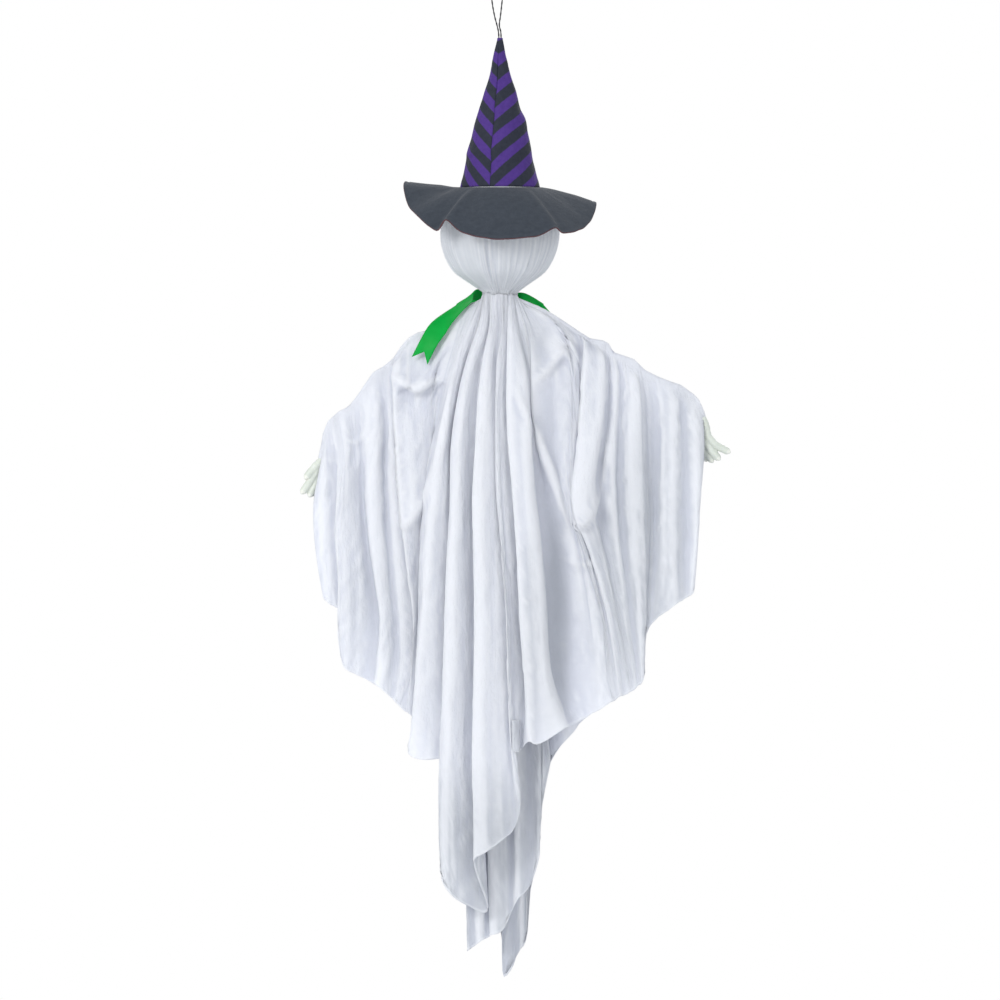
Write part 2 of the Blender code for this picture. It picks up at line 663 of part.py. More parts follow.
# A hand in its own frame, in shares of its length: +X to the fingertips, +Y across, +Z up from
# the palm. Each digit is a root, a middle and a tip, with the radius at its root.
DIGITS = [((0.48, 0.17, 0.0), (0.70, 0.22, 0.02), (0.90, 0.21, -0.06), 0.062),
          ((0.52, 0.06, 0.02), (0.76, 0.08, 0.03), (1.00, 0.06, -0.06), 0.065),
          ((0.50, -0.06, 0.01), (0.74, -0.07, 0.02), (0.96, -0.08, -0.07), 0.062),
          ((0.46, -0.16, -0.01), (0.66, -0.20, 0.00), (0.84, -0.22, -0.08), 0.055),
          ((0.22, 0.17, -0.03), (0.38, 0.30, -0.07), (0.52, 0.34, -0.13), 0.062)]


PALM_ROWS = (0.12, 0.0, -0.12)
HAND_CELL = 0.0016
HAND_THINNING = 0.11

# Which way each hand reaches from its wrist, and which way its thumb's side faces
HANDS = [("hand_left", LEFT_ARM, (-0.57, 0.0, -0.82), (-0.8, 0.4, 0.55)),
         ("hand_right", RIGHT_ARM, (0.72, 0.0, -0.7), (0.65, 0.4, 0.68))]


def capsule(mesh, start, end, start_radius, end_radius):
    """A tapered rod with round ends, added to a mesh."""
    run = end - start
    turn = run.to_track_quat("Z", "Y").to_matrix().to_4x4()
    place = turn.copy()
    place.translation = (start + end) / 2
    bmesh.ops.create_cone(mesh, cap_ends=True, segments=10, radius1=start_radius,
                          radius2=end_radius, depth=run.length, matrix=place)
    for point, radius in ((start, start_radius), (end, end_radius)):
        place = turn.copy()
        place.translation = point
        bmesh.ops.create_uvsphere(mesh, u_segments=10, v_segments=6, radius=radius,
                                  matrix=place)


def make_hand(name, wrist, reach, across, collection, look):
    """A moulded hand whose wrist starts at the wire's end."""
    forward = reach.normalized()
    up = forward.cross(across).normalized()
    side = up.cross(forward).normalized()

    def place(x, y, z):
        return wrist + HAND_LENGTH * (forward * x + side * y + up * z)

    mesh = bmesh.new()
    wrist_radius = HAND_LENGTH * 0.09
    capsule(mesh, place(0.09, 0, 0), place(0.25, 0, 0), wrist_radius, HAND_LENGTH * 0.12)
    for offset in PALM_ROWS:
        capsule(mesh, place(0.22, offset * 0.7, 0), place(0.48, offset, 0.0),
                HAND_LENGTH * 0.085, HAND_LENGTH * 0.075)
    for root, middle, tip, radius in DIGITS:
        capsule(mesh, place(*root), place(*middle), HAND_LENGTH * radius,
                HAND_LENGTH * radius * 0.88)
        capsule(mesh, place(*middle), place(*tip), HAND_LENGTH * radius * 0.88,
                HAND_LENGTH * radius * 0.45)
    data = bpy.data.meshes.new(name)
    mesh.to_mesh(data)
    mesh.free()
    item = bpy.data.objects.new(name, data)
    blend = item.modifiers.new("blend", "REMESH")
    blend.mode = "VOXEL"
    blend.voxel_size = HAND_CELL
    thin = item.modifiers.new("thin", "DECIMATE")
    thin.ratio = HAND_THINNING
    return finish(item, name, collection, look)


def ribbon(name, centre, across, closed, collection, look):
    """A strip of ribbon along a centre line, with its width along the across vectors."""
    vertices = []
    faces = []
    for point, width in zip(centre, across):
        vertices += [point - width / 2, point + width / 2]
    count = len(centre)
    for index in range(count if closed else count - 1):
        after = (index + 1) % count
        faces.append((2 * index, 2 * index + 1, 2 * after + 1, 2 * after))
    item = mesh_object(name, vertices, faces)
    thicken(item, RIBBON_THICKNESS, 0.0)
    return finish(item, name, collection, look)


# The bow lies on the hidden side of the neck: its depth there, and its height below the neck
BOW_OUT = NECK_RADIUS + 9.9 * MM
BOW_DROP = 5 * MM
BOW_HALF_SPAN = 62 * MM
BOW_LOOP_DEPTH = 11 * MM
BOW_KNOT_WIDTH = 11 * MM
BOW_KNOT_HALF_HEIGHT = 8.5 * MM
BOW_KNOT_HALF_DEPTH = 4.6 * MM
BOW_SAG = 16 * MM
BOW_PINCH = 0.12
BOW_OPENING = 1.5
BOW_KNOT_RIBBON = 0.42
LOOP_STEPS = 36
KNOT_STEPS = 14
KNOT_SQUARENESS = 0.6


def make_bow_loops(collection, look):
    """A closed band, flattened, and pinched where the knot holds it."""
    centre = []
    across = []
    for step in range(LOOP_STEPS):
        angle = 2 * math.pi * step / LOOP_STEPS
        x = BOW_HALF_SPAN * math.cos(angle)
        share = abs(math.cos(angle))
        bulge = BOW_OPENING * share * share * (1 - share ** 3)
        opening = BOW_LOOP_DEPTH * (BOW_PINCH + bulge)
        y = BOW_OUT + BOW_LOOP_DEPTH * 0.5 * share + opening * math.sin(angle)
        sag = BOW_SAG * share * share
        width = BOW_KNOT_RIBBON + (1 - BOW_KNOT_RIBBON) * min(1.0, share * 1.6)
        centre.append(Vector((x, y, NECK_Z - BOW_DROP - sag)))
        across.append(Vector((0, 0, RIBBON_WIDTH * width)))
    return ribbon("bow_loops", centre, across, True, collection, look)


def squared(value):
    """Rounds an oval out towards a box."""
    return math.copysign(abs(value) ** KNOT_SQUARENESS, value)


def make_bow_knot(collection, look):
    """The short band round the bow's middle."""
    centre = []
    across = []
    for step in range(KNOT_STEPS):
        angle = 2 * math.pi * step / KNOT_STEPS
        out = squared(math.cos(angle)) * BOW_KNOT_HALF_DEPTH
        rise = squared(math.sin(angle)) * BOW_KNOT_HALF_HEIGHT
        centre.append(Vector((0, BOW_OUT + out, NECK_Z - BOW_DROP + rise)))
        across.append(Vector((BOW_KNOT_WIDTH, 0, 0)))
    return ribbon("bow_knot", centre, across, True, collection, look)


# The ribbon's tails, from the tip that shows, round the hidden side of the neck, to the other
# tip: centre (x, y, drop below the neck) and width direction, in mm
TAILS = [((-103, -29, 86), (20, -3, -10)), ((-92, -29, 64), (21, -4, -8)),
         ((-80, -24, 45), (20, -8, -12)), ((-66, -16, 30), (13, -14, -15)),
         ((-50, -10, 16), (7, -18, -14)), ((-37, -2, 5), (3, -20, -12)),
         ((-31, 11.5, 0), (-4, -14, -14)), ((-17, 22.6, 5), (-4, -2, -12)),
         ((0, 26.2, 5), (0, 0, -10.2)), ((17, 23.7, 5), (2, -2, -14)),
         ((32, 15.2, 2), (-2, -8, -18)), ((50, 18.4, 12), (-6, 4, -22)),
         ((66, 24.4, 28), (-8, 6, -22)), ((78, 31.4, 50), (-12, 4, -20)),
         ((84, 35.4, 74), (-20, 2, -12))]
TAIL_STEPS = 30


def make_tails(collection, look):
    centre = []
    across = []
    shares = [step / TAIL_STEPS for step in range(TAIL_STEPS + 1)]
    places = smooth_curve([Vector((x, y, -drop)) * MM for (x, y, drop), _ in TAILS])
    widths = smooth_curve([Vector(width) for _, width in TAILS])
    pick = [round(share * (len(places) - 1)) for share in shares]
    for index in pick:
        centre.append(places[index] + Vector((0, 0, NECK_Z)))
        span = min(RIBBON_WIDTH, widths[index].length * MM)
        across.append(widths[index].normalized() * span)
    return ribbon("bow_tails", centre, across, False, collection, look)


def main():
    clear_scene()
    collection = new_collection()
    cloth = material("white polyester", (0.88, 0.89, 0.94), 0.75)
    crown = material("striped polyester", (0.10, 0.05, 0.28), 0.7)
    brim = material("black polyester", (0.05, 0.06, 0.08), 0.75)
    green = material("green satin", (0.0, 0.45, 0.12), 0.35)
    hand = material("pale vinyl", (0.78, 0.83, 0.76), 0.45)
    foam = material("white foam", (0.9, 0.9, 0.9), 0.9)
    cord = material("black cord", (0.01, 0.01, 0.01), 0.8)
    steel = material("galvanised wire", (0.6, 0.6, 0.6), 0.4, 1.0)
    beige = material("beige elastic", (0.75, 0.66, 0.5), 0.8)
    make_cord(collection, cord)
    make_knot(collection, cord)
    make_crown(collection, crown)
    make_brim(collection, brim)
    make_ball(collection, foam)
    make_shroud(collection, cloth)
    make_under_cloth(collection, cloth)
    make_tie(collection, beige)
    make_wire(collection, steel)
    for name, arm, reach, across in HANDS:
        end = wire_centre(arm_curve(arm), WIRE_END)
        reach = Vector(reach).normalized()
        make_hand(name, end + reach * HAND_GAP, reach, Vector(across), collection, hand)
    make_bow_loops(collection, green)
    make_bow_knot(collection, green)
    make_tails(collection, green)


main()
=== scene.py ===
"""Hanging fabric ghost, dressed for rendering: a draped white sheet over outstretched arms, a
striped pointed hat with a floppy brim, a green ribbon bow and a black cord loop."""

import math

import bmesh
import bpy
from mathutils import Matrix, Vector, kdtree, noise


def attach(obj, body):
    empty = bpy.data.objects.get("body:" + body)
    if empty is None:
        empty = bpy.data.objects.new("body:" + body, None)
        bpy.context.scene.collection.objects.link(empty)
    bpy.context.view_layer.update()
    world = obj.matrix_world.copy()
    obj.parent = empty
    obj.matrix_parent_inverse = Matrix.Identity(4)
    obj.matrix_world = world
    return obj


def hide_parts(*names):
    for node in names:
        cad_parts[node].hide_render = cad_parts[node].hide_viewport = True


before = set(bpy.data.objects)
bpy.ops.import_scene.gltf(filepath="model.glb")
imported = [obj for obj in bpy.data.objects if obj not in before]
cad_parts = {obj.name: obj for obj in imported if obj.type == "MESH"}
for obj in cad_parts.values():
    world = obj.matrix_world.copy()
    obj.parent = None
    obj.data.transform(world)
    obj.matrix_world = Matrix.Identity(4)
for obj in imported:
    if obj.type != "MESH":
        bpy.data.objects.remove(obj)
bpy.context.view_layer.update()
bpy.ops.object.select_all(action="DESELECT")

MM = 0.001

# Main heights and radii, in metres
HAT_TIP_Z = -0.0745
HAT_FOOT_Z = -0.2665
HAT_MOUTH = 0.0517
CORD_END_Z = -0.0817
BALL_Z = -0.3244
NECK_Z = -0.4034
NECK_RADIUS = 0.0172
HEAD_RADIUS = 0.0762
FOLD_RADIUS = 0.0035
NECK_BELOW_BALL = BALL_Z - NECK_Z

# Camera: the view's centre and half its height, in metres
VIEW_Z = -0.6674
VIEW_HALF = 0.6417
CAMERA_AWAY = 10.0
CAMERA_SEES = 60
SENSOR = 36.0


def make_camera():
    bpy.context.scene.view_settings.view_transform = "Standard"
    data = bpy.data.cameras.new("camera")
    data.sensor_width = SENSOR
    data.lens = SENSOR / 2 * CAMERA_AWAY / VIEW_HALF
    data.clip_end = CAMERA_SEES
    camera = bpy.data.objects.new("camera", data)
    camera.location = (0, -CAMERA_AWAY, VIEW_Z)
    camera.rotation_euler = (math.pi / 2, 0, 0)
    bpy.context.scene.collection.objects.link(camera)
    bpy.context.scene.camera = camera


# Curves and noise

TINY = 1e-9
SHORTEST_SPAN = 1e-5


def catmull(before, start, end, after, share):
    square = share * share
    cube = square * share
    return 0.5 * (2 * start + (end - before) * share
                  + (2 * before - 5 * start + 4 * end - after) * square
                  + (3 * start - before - 3 * end + after) * cube)


def smooth_curve(points, steps=8):
    """Points close together on a smooth curve through given ones."""
    ends = [2 * points[0] - points[1]] + list(points) + [2 * points[-1] - points[-2]]
    curve = []
    for index in range(len(points) - 1):
        for step in range(steps):
            curve.append(catmull(*ends[index:index + 4], step / steps))
    curve.append(points[-1].copy())
    return curve


def lengths_along(curve):
    run = [0.0]
    for start, end in zip(curve, curve[1:]):
        run.append(run[-1] + (end - start).length)
    return run


def along(curve, shares):
    """The points at the given rising shares of a curve's length."""
    run = lengths_along(curve)
    found = []
    index = 0
    for share in shares:
        target = share * run[-1]
        while index < len(curve) - 2 and run[index + 1] < target:
            index += 1
        part = (target - run[index]) / max(run[index + 1] - run[index], TINY)
        found.append(curve[index].lerp(curve[index + 1], min(max(part, 0.0), 1.0)))
    return found


def between(before, start, end, after, share):
    """A point between start and end on a curve that stays tight where points lie close."""
    first, second, third = (max((far - near).length, SHORTEST_SPAN) ** 0.5 for near, far
                            in ((before, start), (start, end), (end, after)))
    one = first
    two = one + second
    three = two + third
    at = one + second * share
    a = before.lerp(start, at / one)
    b = start.lerp(end, (at - one) / second)
    c = end.lerp(after, (at - two) / third)
    d = a.lerp(b, at / two)
    e = b.lerp(c, (at - one) / (three - one))
    return d.lerp(e, (at - one) / second)


def ease(low, high, value):
    """A soft rise from 0 to 1 as the value goes from low to high."""
    share = min(max((value - low) / (high - low), 0.0), 1.0)
    return share * share * (3 - 2 * share)


def ring_noise(around, close, level):
    """Noise that closes on itself round the object's middle: how close its waves lie, and
    which level of it is taken."""
    return noise.noise(around * close + Vector((0, 0, level)))


# Mesh helpers

WELD_GAP = 0.00002


def place_in_scene(item, node=None):
    """Puts a piece into the scene, on the one body, and hides the part that it stands in for."""
    if item.name not in bpy.context.scene.collection.all_objects:
        bpy.context.scene.collection.objects.link(item)
    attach(item, "root")
    if node:
        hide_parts(node)
    return item


def mesh_piece(name, vertices, faces, material, uvs=None):
    mesh = bpy.data.meshes.new(name)
    mesh.from_pydata(vertices, [], faces)
    if uvs:
        layer = mesh.uv_layers.new(name="cloth")
        for loop in mesh.loops:
            layer.data[loop.index].uv = uvs[loop.vertex_index]
    mesh.materials.append(material)
    mesh.shade_smooth()
    mesh.update()
    return bpy.data.objects.new(name, mesh)


def add_float(mesh, name, values):
    """A value at each point, which the material reads by its name."""
    layer = mesh.attributes.new(name, "FLOAT", "POINT")
    layer.data.foreach_set("value", values)


def weld(mesh):
    work = bmesh.new()
    work.from_mesh(mesh)
    bmesh.ops.remove_doubles(work, verts=work.verts, dist=WELD_GAP)
    work.to_mesh(mesh)
    work.free()


def thicken(item, thickness, offset=-1.0):
    wall = item.modifiers.new("wall", "SOLIDIFY")
    wall.thickness = thickness
    wall.offset = offset


def grid_faces(columns, rows, closed=False, flip=False, first=0):
    """Faces of a grid whose vertices run down one column after another."""
    faces = []
    for column in range(columns if closed else columns - 1):
        after = (column + 1) % columns
        for row in range(rows - 1):
            a = first + column * rows + row
            b = first + after * rows + row
            face = (a, a + 1, b + 1, b)
            faces.append(face[::-1] if flip else face)
    return faces


# Shader helpers

def new_material(name):
    made = bpy.data.materials.new(name)
    made.use_nodes = True
    shader = made.node_tree.nodes["Principled BSDF"]
    return made, made.node_tree.nodes, made.node_tree.links, shader


def smooth_step(nodes, links, value, low, high, falling=False):
    """A soft step from 0 to 1 between two values, or from 1 to 0."""
    node = nodes.new("ShaderNodeMapRange")
    node.interpolation_type = "SMOOTHSTEP"
    node.inputs["From Min"].default_value = low
    node.inputs["From Max"].default_value = high
    node.inputs["To Min"].default_value = 1.0 if falling else 0.0
    node.inputs["To Max"].default_value = 0.0 if falling else 1.0
    links.new(value, node.inputs["Value"])
    return node.outputs[0]


def math_node(nodes, links, what, first, second=None, third=None, clamp=False):
    node = nodes.new("ShaderNodeMath")
    node.operation = what
    node.use_clamp = clamp
    for index, value in enumerate((first, second, third)):
        if value is None:
            continue
        if isinstance(value, (int, float)):
            node.inputs[index].default_value = value
        else:
            links.new(value, node.inputs[index])
    return node.outputs[0]


def mix_colour(nodes, links, factor, first, second):
    node = nodes.new("ShaderNodeMix")
    node.data_type = "RGBA"
    sockets = (node.inputs[0], node.inputs[6], node.inputs[7])
    for socket, value in zip(sockets, (factor, first, second)):
        if isinstance(value, (int, float)):
            socket.default_value = value
        elif isinstance(value, tuple):
            socket.default_value = (*value, 1.0)
        else:
            links.new(value, socket)
    return node.outputs[2]


def noise_node(nodes, links, vector, scale, detail=3.0, rough=0.5):
    node = nodes.new("ShaderNodeTexNoise")
    node.inputs["Scale"].default_value = scale
    node.inputs["Detail"].default_value = detail
    node.inputs["Roughness"].default_value = rough
    links.new(vector, node.inputs["Vector"])
    return node.outputs["Fac"]


def stretch(nodes, links, vector, scale):
    node = nodes.new("ShaderNodeMapping")
    node.inputs["Scale"].default_value = scale
    links.new(vector, node.inputs["Vector"])
    return node.outputs["Vector"]


def bump_node(nodes, links, height, strength, distance, normal=None):
    node = nodes.new("ShaderNodeBump")
    node.inputs["Strength"].default_value = strength
    node.inputs["Distance"].default_value = distance
    links.new(height, node.inputs["Height"])
    if normal is not None:
        links.new(normal, node.inputs["Normal"])
    return node.outputs["Normal"]


def object_coordinates(nodes):
    return nodes.new("ShaderNodeTexCoord").outputs["Object"]


def uv_coordinates(nodes):
    return nodes.new("ShaderNodeUVMap").outputs["UV"]


def attribute(nodes, name):
    node = nodes.new("ShaderNodeAttribute")
    node.attribute_name = name
    return node.outputs["Fac"]


def weave(nodes, links, vector, pitch):
    """The height of a plain weave whose threads lie a pitch apart."""
    heights = []
    for axis in ("X", "Y"):
        wave = nodes.new("ShaderNodeTexWave")
        wave.bands_direction = axis
        wave.inputs["Scale"].default_value = 0.31 / pitch
        links.new(vector, wave.inputs["Vector"])
        heights.append(wave.outputs["Fac"])
    return math_node(nodes, links, "MULTIPLY", heights[0], heights[1])


# Colours of the two sheets: in several layers, a painted shade for one layer, a painted highlight
# on a fold's crest, a painted shade in a groove, over the head and along a hem
CLOTH_LIGHT = (0.86, 0.873, 0.915)
CLOTH_ONE_LAYER_SHADE = (0.64, 0.66, 0.695)
CLOTH_CREST_HIGHLIGHT = (0.955, 0.962, 0.98)
CLOTH_GROOVE_SHADE = (0.52, 0.55, 0.67)
CLOTH_HEAD = (0.79, 0.81, 0.84)
CLOTH_HEM = (0.92, 0.93, 0.95)
LIGHT_THROUGH = 0.36
WEAVE_PITCH = 0.0007


def sheet_material():
    """Thin white polyester: greyer with painted shade where it hangs in one layer, and at its
    hems;
    fold crests get a painted highlight and grooves a painted shade.
    """
    made, nodes, links, shader = new_material("white sheet")
    place = object_coordinates(nodes)
    cloth = uv_coordinates(nodes)
    # Painted shade where the cloth hangs in one layer, read from the mesh
    one_layer_shade = attribute(nodes, "one_layer_shade")
    head = attribute(nodes, "head")
    hem = attribute(nodes, "hem")
    mottle = noise_node(nodes, links, place, 60, 4.0)
    # Painted streaks of shade from the layers behind, over a mottled tone
    painted_layer_streaks = noise_node(nodes, links, stretch(nodes, links, cloth, (85, 7, 1)), 1.0, 4.0, 0.6)
    both = math_node(nodes, links, "ADD", mottle, math_node(nodes, links, "MULTIPLY", painted_layer_streaks, 1.6))
    shade = math_node(nodes, links, "MULTIPLY_ADD", both, 0.30, -0.37)
    shade = math_node(nodes, links, "ADD", shade, one_layer_shade, clamp=True)
    colour = mix_colour(nodes, links, shade, CLOTH_LIGHT, CLOTH_ONE_LAYER_SHADE)
    colour = mix_colour(nodes, links, head, colour, CLOTH_HEAD)
    # Painted highlight on fold crests and painted shade in grooves
    crest = math_node(nodes, links, "MULTIPLY", attribute(nodes, "crest"), 0.6, clamp=True)
    groove_shade = math_node(nodes, links, "MULTIPLY", attribute(nodes, "groove_shade"), 0.22, clamp=True)
    colour = mix_colour(nodes, links, crest, colour, CLOTH_CREST_HIGHLIGHT)
    colour = mix_colour(nodes, links, groove_shade, colour, CLOTH_GROOVE_SHADE)
    edge = math_node(nodes, links, "MULTIPLY", hem, 0.3)
    colour = mix_colour(nodes, links, edge, colour, CLOTH_HEM)
    links.new(colour, shader.inputs["Base Color"])
    shader.inputs["Roughness"].default_value = 0.85
    shader.inputs["Specular IOR Level"].default_value = 0.25
    shader.inputs["Sheen Weight"].default_value = 0.08
    shader.inputs["Sheen Roughness"].default_value = 0.5
    creases = noise_node(nodes, links, stretch(nodes, links, cloth, (55, 12, 1)), 1.0, 4.0, 0.6)
    crinkle = noise_node(nodes, links, place, 130, 5.0, 0.65)
    fibres = noise_node(nodes, links, stretch(nodes, links, cloth, (330, 60, 1)), 1.0, 5.0, 0.7)
    folded = noise_node(nodes, links, stretch(nodes, links, cloth, (34, 17, 1)), 1.0, 4.0, 0.55)
    ridge = math_node(nodes, links, "ABSOLUTE",
                      math_node(nodes, links, "SUBTRACT", folded, 0.5))
    streaks = noise_node(nodes, links, stretch(nodes, links, cloth, (150, 9, 1)), 1.0, 3.0, 0.6)
    normal = bump_node(nodes, links, creases, 0.45, 0.005)
    normal = bump_node(nodes, links, ridge, 0.6, 0.007, normal)
    normal = bump_node(nodes, links, streaks, 0.28, 0.002, normal)
    normal = bump_node(nodes, links, crinkle, 0.35, 0.002, normal)
    normal = bump_node(nodes, links, fibres, 0.25, 0.001, normal)
    normal = bump_node(nodes, links, weave(nodes, links, cloth, WEAVE_PITCH), 0.12, 0.0002, normal)
    links.new(normal, shader.inputs["Normal"])
    through = nodes.new("ShaderNodeBsdfTranslucent")
    links.new(colour, through.inputs["Color"])
    links.new(normal, through.inputs["Normal"])
    mixed = nodes.new("ShaderNodeMixShader")
    mixed.inputs[0].default_value = LIGHT_THROUGH
    links.new(shader.outputs[0], mixed.inputs[1])
    links.new(through.outputs[0], mixed.inputs[2])
    links.new(mixed.outputs[0], nodes["Material Output"].inputs["Surface"])
    return made


def satin_material():
    made, nodes, links, shader = new_material("green satin")
    cloth = uv_coordinates(nodes)
    place = object_coordinates(nodes)
    ribs = nodes.new("ShaderNodeTexWave")
    ribs.bands_direction = "Y"
    ribs.inputs["Scale"].default_value = 520
    links.new(cloth, ribs.inputs["Vector"])
    patches = noise_node(nodes, links, place, 90, 3.0)
    colour = mix_colour(nodes, links, patches, (0.0008, 0.285, 0.034), (0.002, 0.37, 0.050))
    links.new(colour, shader.inputs["Base Color"])
    shader.inputs["Roughness"].default_value = 0.42
    shader.inputs["Specular IOR Level"].default_value = 0.12
    shader.inputs["Anisotropic"].default_value = 0.5
    ripple = noise_node(nodes, links, place, 45, 2.0)
    normal = bump_node(nodes, links, ripple, 0.3, 0.003)
    normal = bump_node(nodes, links, ribs.outputs["Fac"], 0.15, 0.0001, normal)
    links.new(normal, shader.inputs["Normal"])
    return made


def stripe_material():
    """Purple and black chevrons; the stripe coordinate lies in the map's second value."""
    made, nodes, links, shader = new_material("striped hat cloth")
    cloth = uv_coordinates(nodes)
    place = object_coordinates(nodes)
    split = nodes.new("ShaderNodeSeparateXYZ")
    links.new(cloth, split.inputs[0])
    fuzz = noise_node(nodes, links, place, 420, 2.0)
    soft = math_node(nodes, links, "MULTIPLY_ADD", fuzz, 0.05, -0.025)
    stripe = math_node(nodes, links, "ADD", split.outputs[1], soft)
    stripe = math_node(nodes, links, "FRACT", stripe)
    band = smooth_step(nodes, links, stripe, 0.47, 0.53)
    edge = smooth_step(nodes, links, stripe, 0.96, 1.0, True)
    purple = math_node(nodes, links, "MULTIPLY", band, edge)
    wear = noise_node(nodes, links, place, 200, 4.0)
    dark = mix_colour(nodes, links, wear, (0.012, 0.015, 0.026), (0.028, 0.032, 0.046))
    violet = mix_colour(nodes, links, wear, (0.046, 0.018, 0.155), (0.080, 0.036, 0.225))
    colour = mix_colour(nodes, links, purple, dark, violet)
    links.new(colour, shader.inputs["Base Color"])
    shader.inputs["Roughness"].default_value = 0.75
    shader.inputs["Specular IOR Level"].default_value = 0.2
    normal = bump_node(nodes, links, noise_node(nodes, links, place, 70, 4.0), 0.4, 0.0025)
    normal = bump_node(nodes, links, weave(nodes, links, place, 0.0008), 0.25, 0.0003, normal)
    links.new(normal, shader.inputs["Normal"])
    return made


def felt_material():
    made, nodes, links, shader = new_material("black hat cloth")
    place = object_coordinates(nodes)
    rim = attribute(nodes, "rim")
    wear = noise_node(nodes, links, place, 160, 5.0, 0.6)
    colour = mix_colour(nodes, links, wear, (0.022, 0.028, 0.038), (0.050, 0.060, 0.076))
    colour = mix_colour(nodes, links, rim, colour, (0.10, 0.035, 0.04))
    links.new(colour, shader.inputs["Base Color"])
    shader.inputs["Roughness"].default_value = 0.9
    shader.inputs["Specular IOR Level"].default_value = 0.2
    shader.inputs["Sheen Weight"].default_value = 0.12
    normal = bump_node(nodes, links, noise_node(nodes, links, place, 110, 5.0, 0.6), 0.35, 0.002)
    normal = bump_node(nodes, links, weave(nodes, links, place, 0.0009), 0.3, 0.0003, normal)
    links.new(normal, shader.inputs["Normal"])
    return made


def vinyl_material():
    made, nodes, links, shader = new_material("pale vinyl")
    place = object_coordinates(nodes)
    tone = noise_node(nodes, links, place, 70, 3.0)
    colour = mix_colour(nodes, links, tone, (0.53, 0.57, 0.51), (0.69, 0.72, 0.65))
    nail = attribute(nodes, "nail")
    colour = mix_colour(nodes, links, nail, colour, (0.72, 0.73, 0.67))
    links.new(colour, shader.inputs["Base Color"])
    shader.inputs["Roughness"].default_value = 0.45
    shader.inputs["Subsurface Weight"].default_value = 0.15
    shader.inputs["Subsurface Radius"].default_value = (0.004, 0.004, 0.003)
    normal = bump_node(nodes, links, noise_node(nodes, links, place, 260, 4.0), 0.15, 0.001)
    links.new(normal, shader.inputs["Normal"])
    return made


GRAIN_HEIGHT = 0.0005


def plain_material(name, low, high, rough, scale, metal=0.0):
    """A finish with a slight change of tone and a fine rough surface."""
    made, nodes, links, shader = new_material(name)
    place = object_coordinates(nodes)
    tone = noise_node(nodes, links, place, scale, 4.0)
    links.new(mix_colour(nodes, links, tone, low, high), shader.inputs["Base Color"])
    shader.inputs["Roughness"].default_value = rough
    shader.inputs["Metallic"].default_value = metal
    grain = noise_node(nodes, links, place, scale * 4, 3.0)
    links.new(bump_node(nodes, links, grain, 0.3, GRAIN_HEIGHT), shader.inputs["Normal"])
    return made


# Cord loop: its route over the hat in mm, x and z, up one strand and down the other. The lay
# is the length in which its two plies make one turn.
CORD_ROUTE = [(0.9, -66), (-0.9, -58), (0.6, -46), (2.2, -32), (3.2, -20), (2.4, -9),
              (0.0, -3.2), (-3.8, -1.0), (-7.6, -3.2), (-10.2, -9), (-10.8, -20),
              (-9.6, -32), (-7.0, -46), (-3.9, -58), (-2.1, -66)]
CORD_DIAMETER = 0.002
CORD_HALF_SPREAD = 0.0014
CORD_STEPS = 240
CORD_SIDES = 12
CORD_LAY = 0.007
PLY_MEAN = 0.86
PLY_LOBE = 0.14


def make_cord(material):
    """Two twisted plies, swept along the loop."""
    ends = [(CORD_HALF_SPREAD, CORD_END_Z), (CORD_HALF_SPREAD, HAT_TIP_Z)]
    route = [Vector((x, 0, z)) for x, z in ends]
    route += [Vector((x * MM, 0, z * MM)) for x, z in CORD_ROUTE]
    route += [Vector((-x, 0, z)) for x, z in reversed(ends)]
    curve = smooth_curve(route)
    points = along(curve, [step / CORD_STEPS for step in range(CORD_STEPS + 1)])
    length = lengths_along(curve)[-1]
    vertices = []
    for step, point in enumerate(points):
        ahead = points[min(step + 1, CORD_STEPS)] - points[max(step - 1, 0)]
        ahead.normalize()
        side = Vector((0, 1, 0))
        up = ahead.cross(side).normalized()
        twist = 2 * math.pi * length * step / CORD_STEPS / CORD_LAY
        for corner in range(CORD_SIDES):
            angle = 2 * math.pi * corner / CORD_SIDES
            lobe = CORD_DIAMETER / 2 * (PLY_MEAN + PLY_LOBE * math.cos(2 * angle - twist))
            vertices.append(point + lobe * (side * math.cos(angle) + up * math.sin(angle)))
    faces = []
    for step in range(CORD_STEPS):
        for corner in range(CORD_SIDES):
            after = (corner + 1) % CORD_SIDES
            faces.append((step * CORD_SIDES + corner, step * CORD_SIDES + after,
                          (step + 1) * CORD_SIDES + after, (step + 1) * CORD_SIDES + corner))
    last = CORD_STEPS * CORD_SIDES
    faces.append(tuple(range(CORD_SIDES))[::-1])
    faces.append(tuple(range(last, last + CORD_SIDES)))
    item = mesh_piece("cord_loop", vertices, faces, material)
    place_in_scene(item, "hanging_cord")


# Sheet: the top of the cloth over each arm, from the neck out: x and drop below the neck, mm
LEFT_ARM = [(-19, 3), (-39, 13), (-77, 41), (-116, 59), (-139, 86), (-173, 117),
            (-193, 142), (-218, 163), (-230, 195), (-234, 217)]
RIGHT_ARM = [(19, 3), (31, 8), (58, 19), (107, 51), (144, 74), (185, 98),
             (232, 118), (257, 140), (266, 163)]

